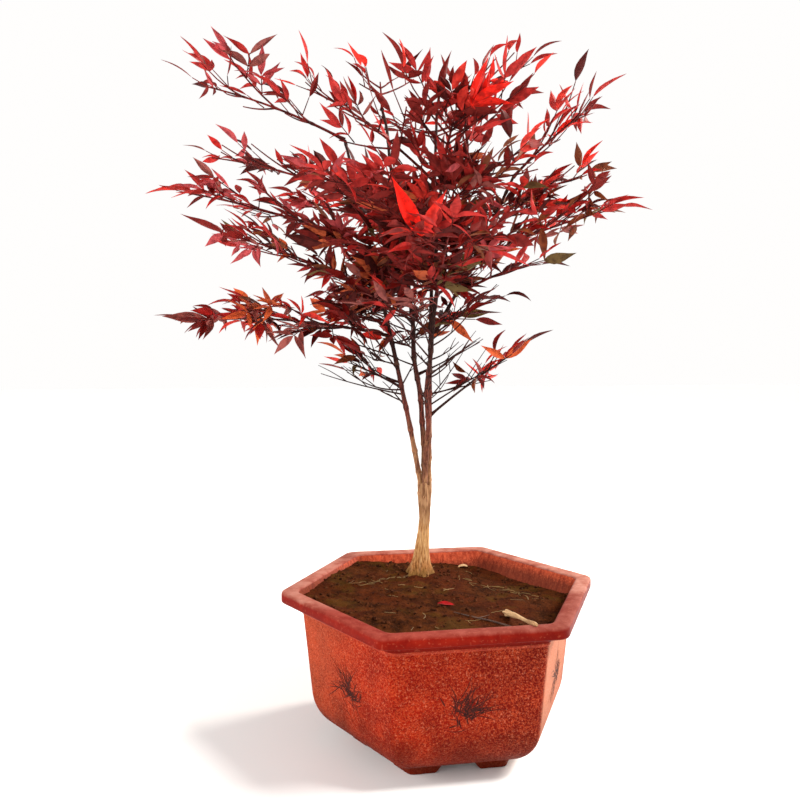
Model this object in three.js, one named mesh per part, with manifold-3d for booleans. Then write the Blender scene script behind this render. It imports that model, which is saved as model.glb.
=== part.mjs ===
// Potted heavenly bamboo in autumn red. A short trunk forks into a clump of canes, and each
// broad compound leaf springs from a cane on its own stem and opens into a flat tier of leaflets.
// It grows in a six-sided moulded pot that stands on six corner feet.
// Millimetres, +Z up, with the pot's front face towards -Y.
import * as THREE from "three";
import { mergeVertices } from "three/addons/utils/BufferGeometryUtils.js";
import Module from "manifold-3d";

const wasm = await Module();
wasm.setup();

// Clearance between pieces that meet.
const GAP = 0.3;

// Pot. A radius is the distance from the pot's axis to a sharp corner of the hexagon.
const SIDES = 6;
const CORNER_ROUNDING = 0.08;
const CORNER_FACETS = [-30, 0, 30];
const POT_HEIGHT = 172;
const RIM_RADIUS = 182;
const RIM_WIDTH = 20;
const RIM_EDGE = 2;
const LIP_DEPTH = 12;
const COVE_DEPTH = 12;
const COVE_FACETS = 3;
const WALL_TOP_RADIUS = 158;
const WALL_FOOT_RADIUS = 148;
const WALL_FOOT_HEIGHT = 54;
const WALL_THICKNESS = 5;
const FLOOR_THICKNESS = 6;
const SHOULDER_FACETS = 4;
const FOOT_RADIUS = 97;
const FOOT_HEIGHT = 14;
const FOOT_WIDTH = 18;
const ARCH_FOOT_WIDTH = 50;
const ARCH_CROWN_WIDTH = 36;
const ARCH_HEIGHT = 12;

// Soil, heaped around the trunk and towards the left of the pot.
const SOIL_AT_WALL = 150;
const SOIL_AT_TRUNK = 161;
const SOIL_LEAN = 11;
const SOIL_LEAN_AZIMUTH = 165;
const SOIL_RIPPLE = 1.2;
const SOIL_RIPPLE_X = 60;
const SOIL_RIPPLE_Y = 20;
const SOIL_RINGS = 5;
const SOIL_COLLAR = 21;

// Trunk, with a lobed root flare, a waist and a thickened head where it forks.
const TRUNK_X = -9;
const TRUNK_Y = 82;
const TRUNK_HEIGHT = 111;
const TRUNK_LEAN = 6;
const TRUNK_LEAN_AZIMUTH = 351;
const FLARE_RADIUS = 16;
const WAIST_RADIUS = 6;
const WAIST_HEIGHT = 68;
const HEAD_RADIUS = 8.6;
const FLARE_FALL = 23;
const FLARE_LOBES = 5;
const FLARE_LOBE_DEPTH = 0.17;
const FLARE_LOBE_FALL = 17;
const TRUNK_SIDES = 15;
const TRUNK_STEPS = 8;

// Canes stand in a ring on the trunk's head, and each leans away along its own heading.
const CANE_RING = 5.1;
const LIMB_TIP_RADIUS = 1.7;
const LIMB_SIDES = 6;
const LIMB_STEPS = 9;
const CANES = {
  cane_left: { bearing: 171, heading: 176, spread: 92, top: 690, bow: 1.1, radius: 3.2 },
  cane_middle: { bearing: 81, heading: 148, spread: 58, top: 735, bow: 1.5, radius: 3.5 },
  cane_right: { bearing: 351, heading: 70, spread: 62, top: 742, bow: 1.7, radius: 3.2 },
  cane_front: { bearing: 261, heading: 272, spread: 88, top: 640, bow: 1.3, radius: 3.2 },
};

// One bough leaves the right-hand cane half way up.
const BOUGH = { limb: "cane_right", at: 450, azimuth: 350, reach: 112, tip: 646, radius: 2.4, arch: -10 };

// Compound leaves. Each springs from a limb at a height and reaches out to its tip.
const STEM_RADIUS = 2;
const STEM_TIP_RADIUS = 1.4;
const STEM_STEPS = 4;
const STEM_SIDES = 3;
const STEM_ARCH = 0.2;
const UPPER_LEAN = 0.4;
const PINNA_RADIUS = 1.1;
const PINNA_ANGLE = 52;
const PINNA_ANGLE_VARIATION = 16;
const PINNA_LIFT = 6;
const PINNA_LIFT_VARIATION = 24;
const PINNA_LENGTH_VARIATION = 0.3;
const PINNA_NODES = [
  { along: 0.26, share: 0.9, pairs: [0.36, 0.74] },
  { along: 0.52, share: 1, pairs: [0.36, 0.74] },
  { along: 0.76, share: 0.6, pairs: [0.55] },
];
const PINNA_FITS = [1, 0.75, 0.5, 0.3];
const PINNA_SAMPLES = [0.15, 0.3, 0.45, 0.6, 0.75, 0.9, 1];
const TIP_PAIR_ALONG = 0.93;
const TWIG_SAMPLES = 10;
const LEAFLET_LENGTH = 54;
const LEAFLET_LENGTH_VARIATION = 0.3;
const LEAFLET_WIDTH = 0.4;
const LEAFLET_THICKNESS = 0.7;
const LEAFLET_WIDEST = 0.42;
const LEAFLET_FOLD = 0.05;
const LEAFLET_DROOP = 0.1;
const LEAFLET_ANGLE = 48;
const LEAFLET_ROLL = 70;
const LEAFLET_SUNK = 0.2;
const TIP_LEAFLET_SUNK = 0.9;
const LEAFLET_SPACING = 3.5;
const LEAFLET_TILTS = [0, 24, -24, 48, -48];
const LEAFLET_SAMPLES = [0.2, 0.4, 0.6, 0.8, 1];
const LEAFLET_OVERHANG = 0.4;
const SPACE_MARGIN = 0.8;
const LIMB_CLEARANCE = 1.2;
const SEEDS_PER_LEAF = 1000;
const SEEDS_PER_NODE = 10;
const TIP_SEED = 500;
const LEAVES_ON = {
  cane_left: [
    { name: "left_low", at: 455, azimuth: 178, reach: 308, tip: 472, width: 110, erect: -0.1, nodes: 3 },
    { name: "left_front", at: 500, azimuth: 200, reach: 275, tip: 535, width: 100, erect: 0, nodes: 3 },
    { name: "left_mid", at: 560, azimuth: 168, reach: 328, tip: 636, width: 110, erect: 0.1, nodes: 3 },
    { name: "left_back", at: 620, azimuth: 150, reach: 345, tip: 704, width: 105, erect: 0.2, nodes: 3 },
    { name: "left_top", at: 690, azimuth: 177, reach: 303, tip: 752, width: 105, erect: 0.45, nodes: 3 },
    { name: "low_left", at: 392, azimuth: 158, reach: 136, tip: 432, width: 60, erect: 0.1, nodes: 2 },
  ],
  cane_middle: [
    { name: "top_left", at: 700, azimuth: 142, reach: 215, tip: 800, width: 85, erect: 0.5, nodes: 3 },
    { name: "top", at: 735, azimuth: 110, reach: 110, tip: 816, width: 85, erect: 0.3, nodes: 2 },
    { name: "back_left", at: 590, azimuth: 117, reach: 300, tip: 650, width: 110, erect: 0.2, nodes: 3 },
    { name: "back_low", at: 470, azimuth: 95, reach: 225, tip: 500, width: 95, erect: 0, nodes: 3 },
  ],
  cane_right: [
    { name: "top_right", at: 742, azimuth: 4, reach: 185, tip: 806, width: 95, erect: 0.5, nodes: 3 },
    { name: "back_top", at: 700, azimuth: 78, reach: 245, tip: 764, width: 100, erect: 0.3, nodes: 3 },
    { name: "back_right", at: 585, azimuth: 45, reach: 290, tip: 655, width: 110, erect: 0.2, nodes: 3 },
    { name: "right_low", at: 465, azimuth: 24, reach: 165, tip: 512, width: 75, erect: 0.1, nodes: 2 },
    { name: "low_right", at: 357, azimuth: 354, reach: 152, tip: 455, width: 55, erect: 0.1, nodes: 2 },
  ],
  bough_right: [
    { name: "right_top", at: 646, azimuth: 344, reach: 236, tip: 742, width: 90, erect: 0.45, nodes: 3 },
    { name: "right_mid", at: 600, azimuth: 9, reach: 265, tip: 674, width: 95, erect: 0.2, nodes: 3 },
    { name: "right", at: 545, azimuth: 346, reach: 270, tip: 612, width: 95, erect: 0.1, nodes: 3 },
    { name: "right_front", at: 505, azimuth: 312, reach: 195, tip: 535, width: 80, erect: 0, nodes: 3 },
  ],
  cane_front: [
    { name: "front_low", at: 455, azimuth: 240, reach: 150, tip: 490, width: 80, erect: 0, nodes: 2 },
    { name: "inner_left", at: 528, azimuth: 206, reach: 168, tip: 552, width: 90, erect: 0.1, nodes: 3 },
    { name: "front", at: 500, azimuth: 266, reach: 270, tip: 556, width: 100, erect: 0.1, nodes: 3 },
    { name: "front_left", at: 555, azimuth: 234, reach: 260, tip: 605, width: 100, erect: 0.1, nodes: 3 },
    { name: "front_right", at: 590, azimuth: 292, reach: 245, tip: 640, width: 95, erect: 0.2, nodes: 3 },
    { name: "front_top", at: 640, azimuth: 276, reach: 175, tip: 716, width: 95, erect: 0.4, nodes: 3 },
    { name: "front_crown", at: 615, azimuth: 215, reach: 165, tip: 712, width: 90, erect: 0.3, nodes: 3 },
  ],
};

const UP = new THREE.Vector3(0, 0, 1);
const lerp = THREE.MathUtils.lerp;
const radians = THREE.MathUtils.degToRad;

function heading(azimuth) {
  return new THREE.Vector3(Math.cos(radians(azimuth)), Math.sin(radians(azimuth)), 0);
}

function fromTrunk(azimuth, reach, height) {
  return heading(azimuth).multiplyScalar(reach).add(new THREE.Vector3(TRUNK_X, TRUNK_Y, height));
}

function seededRandom(seed) {
  let state = seed >>> 0;
  return () => {
    state = (state + 0x6d2b79f5) >>> 0;
    let mixed = Math.imul(state ^ (state >>> 15), 1 | state);
    mixed = (mixed + Math.imul(mixed ^ (mixed >>> 7), 61 | mixed)) ^ mixed;
    return ((mixed ^ (mixed >>> 14)) >>> 0) / 4294967296;
  };
}

// Skin over rings of equal point count, closed at both ends.
function loft(rings) {
  const count = rings[0].length;
  const points = rings.flat();
  const faces = [];
  for (let ring = 0; ring + 1 < rings.length; ring += 1) {
    for (let side = 0; side < count; side += 1) {
      const near = ring * count + side;
      const next = ring * count + ((side + 1) % count);
      faces.push(near, next, next + count, near, next + count, near + count);
    }
  }
  const closeEnd = (offset, flip) => {
    if (count === 3) {
      faces.push(offset, offset + (flip ? 2 : 1), offset + (flip ? 1 : 2));
      return;
    }
    const hub = points.length;
    const centre = new THREE.Vector3();
    for (let side = 0; side < count; side += 1) {
      centre.addScaledVector(points[offset + side], 1 / count);
      const next = offset + ((side + 1) % count);
      faces.push(hub, flip ? next : offset + side, flip ? offset + side : next);
    }
    points.push(centre);
  };
  closeEnd(0, true);
  closeEnd((rings.length - 1) * count, false);
  return new THREE.BufferGeometry().setFromPoints(points).setIndex(faces);
}

function solidFrom(geometry) {
  geometry.deleteAttribute("normal");
  geometry.deleteAttribute("uv");
  const merged = mergeVertices(geometry, 1e-3);
  const mesh = new wasm.Mesh({
    numProp: 3,
    vertProperties: Float32Array.from(merged.attributes.position.array),
    triVerts: Uint32Array.from(merged.index.array),
  });
  return new wasm.Manifold(mesh);
}

function namedMesh(name, solid, material) {
  const { vertProperties, triVerts } = solid.getMesh();
  const geometry = new THREE.BufferGeometry();
  geometry.setAttribute("position", new THREE.BufferAttribute(vertProperties, 3));
  geometry.setIndex(new THREE.BufferAttribute(triVerts, 1));
  geometry.computeVertexNormals();
  const mesh = new THREE.Mesh(geometry, material);
  mesh.name = name;
  return mesh;
}

// Pot: one moulding, from the underside of its floor out over feet, wall and rim and back inside.
function hexagonRing(radius, height) {
  const rounding = CORNER_ROUNDING * radius;
  const centreDistance = radius - rounding / Math.cos(Math.PI / SIDES);
  const ring = [];
  for (let corner = 0; corner < SIDES; corner += 1) {
    const azimuth = (360 / SIDES) * corner;
    for (const turn of CORNER_FACETS) {
      const point = heading(azimuth).multiplyScalar(centreDistance);
      ring.push(point.addScaledVector(heading(azimuth + turn), rounding).setZ(height));
    }
  }
  return ring;
}

function shoulderProfile(wallRadius, footRadius, footHeight) {
  const profile = [];
  for (let facet = 0; facet <= SHOULDER_FACETS; facet += 1) {
    const turn = (Math.PI / 2) * (1 - facet / SHOULDER_FACETS);
    const radius = lerp(footRadius, wallRadius, Math.cos(turn));
    profile.push([radius, lerp(WALL_FOOT_HEIGHT, footHeight, Math.sin(turn))]);
  }
  return profile;
}

function coveProfile() {
  const profile = [];
  const lipFoot = POT_HEIGHT - LIP_DEPTH;
  for (let facet = 0; facet <= COVE_FACETS; facet += 1) {
    const turn = (Math.PI / 2) * (facet / COVE_FACETS);
    const radius = lerp(RIM_RADIUS - RIM_EDGE, WALL_TOP_RADIUS, Math.cos(turn));
    profile.push([radius, lerp(lipFoot - COVE_DEPTH, lipFoot, Math.sin(turn))]);
  }
  return profile;
}

function insideProfile() {
  const floor = FOOT_HEIGHT + FLOOR_THICKNESS;
  const wall = shoulderProfile(WALL_FOOT_RADIUS - WALL_THICKNESS, FOOT_RADIUS, floor);
  const coveFoot = POT_HEIGHT - LIP_DEPTH - COVE_DEPTH;
  return [
    ...wall,
    [WALL_TOP_RADIUS - WALL_THICKNESS, coveFoot],
    [RIM_RADIUS - RIM_WIDTH, POT_HEIGHT - RIM_EDGE],
  ];
}

function potSolid() {
  const profile = [
    [FOOT_RADIUS - FOOT_WIDTH, FOOT_HEIGHT],
    [FOOT_RADIUS - FOOT_WIDTH, 0],
    [FOOT_RADIUS, 0],
    ...shoulderProfile(WALL_FOOT_RADIUS, FOOT_RADIUS + RIM_EDGE, FOOT_HEIGHT),
    ...coveProfile(),
    [RIM_RADIUS, POT_HEIGHT - LIP_DEPTH + RIM_EDGE],
    [RIM_RADIUS, POT_HEIGHT - RIM_EDGE],
    [RIM_RADIUS - RIM_EDGE, POT_HEIGHT],
    [RIM_RADIUS - RIM_WIDTH + RIM_EDGE, POT_HEIGHT],
    ...insideProfile().reverse(),
  ];
  let pot = solidFrom(loft(profile.map(([radius, height]) => hexagonRing(radius, height))));
  const arch = new THREE.Shape();
  arch.moveTo(-ARCH_FOOT_WIDTH / 2, -ARCH_HEIGHT);
  arch.lineTo(ARCH_FOOT_WIDTH / 2, -ARCH_HEIGHT);
  arch.lineTo(ARCH_FOOT_WIDTH / 2, 0);
  arch.lineTo(ARCH_CROWN_WIDTH / 2, ARCH_HEIGHT);
  arch.lineTo(-ARCH_CROWN_WIDTH / 2, ARCH_HEIGHT);
  arch.lineTo(-ARCH_FOOT_WIDTH / 2, 0);
  for (let pair = 0; pair < SIDES / 2; pair += 1) {
    const tunnel = new THREE.ExtrudeGeometry(arch, { depth: 2 * FOOT_RADIUS, bevelEnabled: false });
    tunnel.translate(0, 0, -FOOT_RADIUS).rotateX(Math.PI / 2).rotateZ((pair * 2 * Math.PI) / SIDES);
    pot = pot.subtract(solidFrom(tunnel));
  }
  return pot;
}

// Soil: fills the pot to below its rim and carries a level collar under the trunk.
function radiusInside(height) {
  const profile = insideProfile();
  const above = Math.max(1, profile.findIndex(([, level]) => level >= height));
  const [lowRadius, low] = profile[above - 1];
  const [highRadius, high] = profile[above];
  return lerp(lowRadius, highRadius, (height - low) / (high - low));
}

function soilSurface(point, share) {
  const lean = Math.max(0, heading(SOIL_LEAN_AZIMUTH).dot(point) / RIM_RADIUS);
  const ripple = Math.sin(point.x / SOIL_RIPPLE_X) * Math.cos(point.y / SOIL_RIPPLE_Y);
  const atWall = SOIL_AT_WALL + SOIL_LEAN * lean + SOIL_RIPPLE * ripple;
  return lerp(SOIL_AT_TRUNK, atWall, Math.sqrt(share));
}

function soilSolid() {
  const centre = new THREE.Vector3(TRUNK_X, TRUNK_Y, 0);
  const below = insideProfile().filter(([, level]) => level < SOIL_AT_WALL - SOIL_RIPPLE);
  const rings = below.map(([radius, level]) => hexagonRing(radius - 2 * GAP, level + GAP));
  const wallRing = hexagonRing(WALL_TOP_RADIUS, 0).map((point, index) => {
    const level = soilSurface(point, 1);
    return hexagonRing(radiusInside(level) - 2 * GAP, 0)[index];
  });
  for (let ring = SOIL_RINGS; ring >= 0; ring -= 1) {
    const share = ring / SOIL_RINGS;
    rings.push(
      wallRing.map((wallPoint) => {
        const away = wallPoint.clone().sub(centre);
        const reach = lerp(SOIL_COLLAR, away.length(), share);
        const point = away.setLength(reach).add(centre);
        return point.setZ(soilSurface(point, share));
      }),
    );
  }
  return solidFrom(loft(rings));
}

// Trunk: cut flat at the soil, flared into root lobes, waisted, and flat where the canes stand.
function trunkRadius(height) {
  const flare = (FLARE_RADIUS - WAIST_RADIUS) * Math.exp(-height / FLARE_FALL);
  const above = Math.max(0, (height - WAIST_HEIGHT) / (TRUNK_HEIGHT - WAIST_HEIGHT));
  return WAIST_RADIUS + flare + (HEAD_RADIUS - WAIST_RADIUS) * above;
}

function trunkCentre(height) {
  const lean = TRUNK_LEAN * Math.min(1, height / WAIST_HEIGHT);
  return fromTrunk(TRUNK_LEAN_AZIMUTH, lean, SOIL_AT_TRUNK + GAP + height);
}

function trunkSolid() {
  const rings = [];
  for (let step = 0; step <= TRUNK_STEPS; step += 1) {
    const height = TRUNK_HEIGHT * (step / TRUNK_STEPS);
    const lobe = FLARE_LOBE_DEPTH * Math.exp(-height / FLARE_LOBE_FALL);
    const ring = [];
    for (let side = 0; side < TRUNK_SIDES; side += 1) {
      const azimuth = (360 * side) / TRUNK_SIDES;
      const swell = 1 + lobe * Math.cos(radians(azimuth) * FLARE_LOBES);
      ring.push(trunkCentre(height).addScaledVector(heading(azimuth), trunkRadius(height) * swell));
    }
    rings.push(ring);
  }
  return solidFrom(loft(rings));
}

// Part of a direction that lies square to an axis, as a unit vector.
function squareTo(axis, direction) {
  return direction.clone().addScaledVector(axis, -direction.dot(axis)).normalize();
}

// A tapering limb or stem along a curve, as a list of stations with their cross-sections.
function stationsAlong(curve, steps, baseRadius, tipRadius, upper) {
  const stations = [];
  for (let step = 0; step <= steps; step += 1) {
    const tangent = curve.getTangentAt(step / steps);
    const normal = squareTo(tangent, upper);
    stations.push({
      point: curve.getPointAt(step / steps),
      tangent,
      normal,
      binormal: new THREE.Vector3().crossVectors(tangent, normal),
      radius: lerp(baseRadius, tipRadius, step / steps),
    });
  }
  return stations;
}

function stationRing({ point, normal, binormal, radius }, sides) {
  const ring = [];
  for (let side = 0; side < sides; side += 1) {
    const turn = (2 * Math.PI * side) / sides;
    const corner = point.clone().addScaledVector(normal, radius * Math.cos(turn));
    ring.push(corner.addScaledVector(binormal, radius * Math.sin(turn)));
  }
  return ring;
}

function limbSolid(stations, sides) {
  return solidFrom(loft(stations.map((station) => stationRing(station, sides))));
}

function stationAt(stations, height) {
  const last = stations.length - 1;
  const found = stations.findIndex(({ point }) => point.z >= height);
  const upper = found < 0 ? last : Math.max(1, found);
  const low = stations[upper - 1];
  const high = stations[upper];
  const share = Math.min(1, (height - low.point.z) / (high.point.z - low.point.z));
  return {
    point: low.point.clone().lerp(high.point, share),
    tangent: low.tangent.clone().lerp(high.tangent, share).normalize(),
    radius: lerp(low.radius, high.radius, share),
    isTip: upper === last && share > 0.99,
  };
}

function caneStations({ bearing, heading: azimuth, spread, top, bow, radius }) {
  const base = trunkCentre(TRUNK_HEIGHT).addScaledVector(heading(bearing), CANE_RING);
  base.z += GAP;
  const points = [];
  for (let step = 0; step <= LIMB_STEPS; step += 1) {
    const share = step / LIMB_STEPS;
    const point = base.clone().addScaledVector(heading(azimuth), spread * share ** bow);
    points.push(point.setZ(lerp(base.z, top, share)));
  }
  const curve = new THREE.CatmullRomCurve3(points);
  const stations = stationsAlong(curve, LIMB_STEPS, radius, LIMB_TIP_RADIUS, heading(bearing));
  stations[0].normal = heading(bearing);
  stations[0].binormal = heading(bearing + 90);
  return stations;
}

// Curve of a stem that springs clear of a limb and ends at a tip, arching on its way.
function springingCurve({ limb, at, azimuth, reach, tip, arch }, radius, sides, upper) {
  const origin = stationAt(limbs[limb], at);
  const end = fromTrunk(azimuth, reach, tip);
  const middle = origin.point.clone().lerp(end, 0.5).addScaledVector(UP, arch);
  const leaving = middle.clone().sub(origin.point).normalize();
  const outward = origin.isTip ? origin.tangent : squareTo(origin.tangent, leaving);
  const normal = squareTo(leaving, upper);
  const binormal = new THREE.Vector3().crossVectors(leaving, normal);
  const foot = stationRing({ point: new THREE.Vector3(), normal, binormal, radius }, sides);
  const edge = Math.max(...foot.map((corner) => -corner.dot(outward)));
  const clear = (origin.isTip ? 0 : origin.radius) + edge + GAP;
  const start = origin.point.clone().addScaledVector(outward, clear);
  return new THREE.QuadraticBezierCurve3(start, middle, end);
}

const limbs = {};
for (const [name, cane] of Object.entries(CANES)) {
  limbs[name] = caneStations(cane);
}
const boughCurve = springingCurve(BOUGH, BOUGH.radius, LIMB_SIDES, UP);
limbs.bough_right = stationsAlong(boughCurve, LIMB_STEPS, BOUGH.radius, LIMB_TIP_RADIUS, UP);

// Spine of each compound leaf: from its limb to the root of the leaflet at its tip.
const leaves = Object.entries(LEAVES_ON).flatMap(([limb, borne]) =>
  borne.map((leaf) => ({ limb, ...leaf })),
);
const spines = leaves.map((leaf) => {
  const arch = leaf.width * STEM_ARCH;
  const upper = UP.clone().addScaledVector(heading(leaf.azimuth), -UPPER_LEAN);
  const curve = springingCurve({ ...leaf, arch }, STEM_RADIUS, STEM_SIDES, upper);
  const length = curve.getLength();
  const shortened = curve.getPointAt(1 - LEAFLET_LENGTH / length);
  const middle = curve.v1.clone().lerp(curve.v0, LEAFLET_LENGTH / length / 2);
  const spine = new THREE.QuadraticBezierCurve3(curve.v0, middle, shortened);
  return { spine, upper, samples: curve.getSpacedPoints(3 * STEM_STEPS) };
});

function distanceToPath(point, path) {
  const foot = new THREE.Vector3();
  const segment = new THREE.Line3();
  let nearest = Infinity;
  for (let index = 1; index < path.length; index += 1) {
    segment.set(path[index - 1], path[index]).closestPointToPoint(point, true, foot);
    nearest = Math.min(nearest, foot.distanceTo(point));
  }
  return nearest;
}

// A leaf's own space is whatever lies nearer to its spine than to any other, clear of the limbs.
function inOwnSpace(point, owner) {
  const own = distanceToPath(point, spines[owner].samples);
  for (let other = 0; other < spines.length; other += 1) {
    if (other !== owner && distanceToPath(point, spines[other].samples) < own + SPACE_MARGIN) {
      return false;
    }
  }
  return Object.values(limbs).every((stations) => {
    const path = stations.map((station) => station.point);
    return distanceToPath(point, path) > stations[0].radius + LIMB_CLEARANCE;
  });
}

// One leaflet: a folded blade of flat facets, thickest along its midrib and pointed at the tip.
function leafletPoints(root, axis, normal, length) {
  const across = new THREE.Vector3().crossVectors(normal, axis);
  const place = (along, side, rise) =>
    root
      .clone()
      .addScaledVector(axis, along * length)
      .addScaledVector(across, side * length * LEAFLET_WIDTH * 0.5)
      .addScaledVector(normal, rise);
  const half = LEAFLET_THICKNESS / 2;
  const fold = LEAFLET_FOLD * length;
  return [
    place(0, 0, half),
    place(0, 0, -half),
    place(LEAFLET_WIDEST, 1, fold),
    place(1, 0, -LEAFLET_DROOP * length),
    place(LEAFLET_WIDEST, -1, fold),
  ];
}

function leafletSolid(points) {
  const upper = [0, 3, 2, 0, 4, 3];
  const lower = [1, 2, 3, 1, 3, 4];
  const root = [0, 2, 1, 0, 1, 4];
  const geometry = new THREE.BufferGeometry().setFromPoints(points);
  return solidFrom(geometry.setIndex([...upper, ...lower, ...root]));
}

function leafletSamples([root, , left, tip, right]) {
  const samples = [];
  const lines = [[root, tip], [left, right], [left, tip], [right, tip], [root, left], [root, right]];
  for (const [from, to] of lines) {
    for (const share of LEAFLET_SAMPLES) {
      samples.push(from.clone().lerp(to, share));
    }
  }
  return samples;
}

function twigSolid(from, to, upper) {
  const stations = stationsAlong(new THREE.LineCurve3(from, to), 1, PINNA_RADIUS, PINNA_RADIUS, upper);
  return limbSolid(stations, STEM_SIDES);
}

function isCrowded(samples, placed, ownTwig) {
  return placed.some(({ points, twig }) =>
    twig !== ownTwig &&
    points.some((point) => samples.some((sample) => sample.distanceTo(point) < LEAFLET_SPACING)),
  );
}

// Draws the pinnae and leaflets of one compound leaf by its seed and fuses those that fit.
function foliageSolid(leaf, owner) {
  const { spine, upper } = spines[owner];
  const sideways = heading(leaf.azimuth + 90);
  const stem = stationsAlong(spine, STEM_STEPS, STEM_RADIUS, STEM_TIP_RADIUS, upper);
  const pieces = [limbSolid(stem, STEM_SIDES)];
  const placed = [];

  const addLeaflet = (root, direction, sunk, random, ownTwig) => {
    const raised = direction.clone().addScaledVector(UP, leaf.erect * (0.5 + random())).normalize();
    const length = LEAFLET_LENGTH * (1 + LEAFLET_LENGTH_VARIATION * (random() - 0.5));
    const roll = radians(LEAFLET_ROLL * (random() - 0.5));
    for (const tilt of LEAFLET_TILTS) {
      const hinge = new THREE.Vector3().crossVectors(raised, upper).normalize();
      const axis = raised.clone().applyAxisAngle(hinge, radians(tilt));
      const normal = squareTo(axis, upper).applyAxisAngle(axis, roll);
      const points = leafletPoints(root.clone().addScaledVector(axis, -sunk), axis, normal, length);
      const samples = leafletSamples(points);
      if (samples.every((point) => inOwnSpace(point, owner)) && !isCrowded(samples, placed, ownTwig)) {
        pieces.push(leafletSolid(points));
        placed.push({ points: samples });
        return;
      }
    }
  };

  PINNA_NODES.slice(-leaf.nodes).forEach(({ along, share, pairs }, node) => {
    for (const side of [-1, 1]) {
      const random = seededRandom(SEEDS_PER_LEAF * owner + SEEDS_PER_NODE * node + side);
      const root = spine.getPointAt(along);
      const forward = spine.getTangentAt(along);
      const angle = radians(PINNA_ANGLE + PINNA_ANGLE_VARIATION * (random() - 0.5));
      const lift = Math.tan(radians(PINNA_LIFT + PINNA_LIFT_VARIATION * (random() - 0.5)));
      const direction = forward.clone().multiplyScalar(Math.cos(angle));
      direction.addScaledVector(sideways, side * Math.sin(angle)).addScaledVector(UP, lift).normalize();
      const spread = leaf.width * share * (1 + PINNA_LENGTH_VARIATION * (random() - 0.5));
      const full = spread - LEAFLET_LENGTH * LEAFLET_OVERHANG;
      const fit = PINNA_FITS.find((scale) =>
        PINNA_SAMPLES.every((part) =>
          inOwnSpace(root.clone().addScaledVector(direction, full * scale * part), owner),
        ),
      );
      if (!fit) {
        continue;
      }
      const length = full * fit;
      const end = root.clone().addScaledVector(direction, length);
      const twig = twigSolid(root, end, upper);
      pieces.push(twig);
      placed.push({ points: new THREE.LineCurve3(root, end).getPoints(TWIG_SAMPLES).slice(1), twig });
      const turnAxis = new THREE.Vector3().crossVectors(direction, sideways).normalize();
      for (const pair of pairs) {
        for (const turn of [-1, 1]) {
          const at = root.clone().addScaledVector(direction, length * pair);
          const out = direction.clone().applyAxisAngle(turnAxis, radians(turn * LEAFLET_ANGLE));
          addLeaflet(at, out, LEAFLET_SUNK, random, twig);
        }
      }
      addLeaflet(end, direction, TIP_LEAFLET_SUNK, random, twig);
    }
  });

  const random = seededRandom(SEEDS_PER_LEAF * owner + TIP_SEED);
  const tipForward = spine.getTangentAt(1);
  for (const side of [-1, 1]) {
    const out = tipForward.clone().addScaledVector(sideways, side);
    addLeaflet(spine.getPointAt(TIP_PAIR_ALONG), out.normalize(), LEAFLET_SUNK, random);
  }
  addLeaflet(spine.getPointAt(1), tipForward, TIP_LEAFLET_SUNK, random);
  const bodies = wasm.Manifold.union(pieces).decompose();
  return bodies.reduce((largest, body) => (body.volume() > largest.volume() ? body : largest));
}

const potMaterial = new THREE.MeshStandardMaterial({ color: 0xb8341f, roughness: 0.55, metalness: 0 });
const soilMaterial = new THREE.MeshStandardMaterial({ color: 0x3a2a20, roughness: 0.95, metalness: 0 });
const barkMaterial = new THREE.MeshStandardMaterial({ color: 0x9a7a55, roughness: 0.85, metalness: 0 });
const caneMaterial = new THREE.MeshStandardMaterial({ color: 0x6a4a38, roughness: 0.8, metalness: 0 });
const leafMaterial = new THREE.MeshStandardMaterial({ color: 0x7c1420, roughness: 0.5, metalness: 0 });

const plant = new THREE.Group();
plant.add(namedMesh("pot", potSolid(), potMaterial));
plant.add(namedMesh("soil", soilSolid(), soilMaterial));
plant.add(namedMesh("trunk", trunkSolid(), barkMaterial));
for (const [name, stations] of Object.entries(limbs)) {
  plant.add(namedMesh(name, limbSolid(stations, LIMB_SIDES), caneMaterial));
}
leaves.forEach((leaf, owner) => {
  plant.add(namedMesh(`foliage_${leaf.name}`, foliageSolid(leaf, owner), leafMaterial));
});

// The part's origin lies at the middle of its bounding box, on the ground.
const bounds = new THREE.Box3().setFromObject(plant);
const middle = bounds.getCenter(new THREE.Vector3());
plant.position.set(-middle.x, -middle.y, -bounds.min.z);

const part = new THREE.Group();
part.add(plant);
export default part;
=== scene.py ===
import math

import bpy
import numpy as np
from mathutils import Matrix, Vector, noise
from mathutils.bvhtree import BVHTree


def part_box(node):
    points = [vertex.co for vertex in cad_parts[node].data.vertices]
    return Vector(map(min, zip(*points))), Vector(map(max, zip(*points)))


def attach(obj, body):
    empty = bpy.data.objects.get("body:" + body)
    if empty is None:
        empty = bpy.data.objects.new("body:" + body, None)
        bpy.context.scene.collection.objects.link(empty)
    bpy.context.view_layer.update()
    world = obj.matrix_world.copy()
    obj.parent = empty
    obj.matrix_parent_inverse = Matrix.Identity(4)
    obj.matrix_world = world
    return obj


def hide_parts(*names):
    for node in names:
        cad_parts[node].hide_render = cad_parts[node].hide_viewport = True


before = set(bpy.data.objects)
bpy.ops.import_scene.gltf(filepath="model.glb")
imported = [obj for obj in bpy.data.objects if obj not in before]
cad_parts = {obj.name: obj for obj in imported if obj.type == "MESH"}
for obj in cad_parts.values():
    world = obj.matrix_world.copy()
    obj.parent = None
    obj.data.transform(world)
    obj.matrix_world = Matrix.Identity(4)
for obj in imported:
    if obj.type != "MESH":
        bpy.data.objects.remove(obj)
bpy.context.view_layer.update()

# Pot: one six-sided moulding of red clay-coloured resin with a wide flat rim, a hanging lip and, below a
# rounded shoulder, six bracket feet. The wall is pressed with a fine worm-like grain; its sunny side and its
# left are painted paler as painted light, it is painted darker towards the right as painted shade, the bead
# under the lip has a painted highlight, and it is darker towards the bottom. The rim is smooth, with dust
# and a painted sheen on its top and painted shade on its lip. Sizes are in millimetres from the pot's axis.
pot_low, pot_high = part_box("pot")
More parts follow.
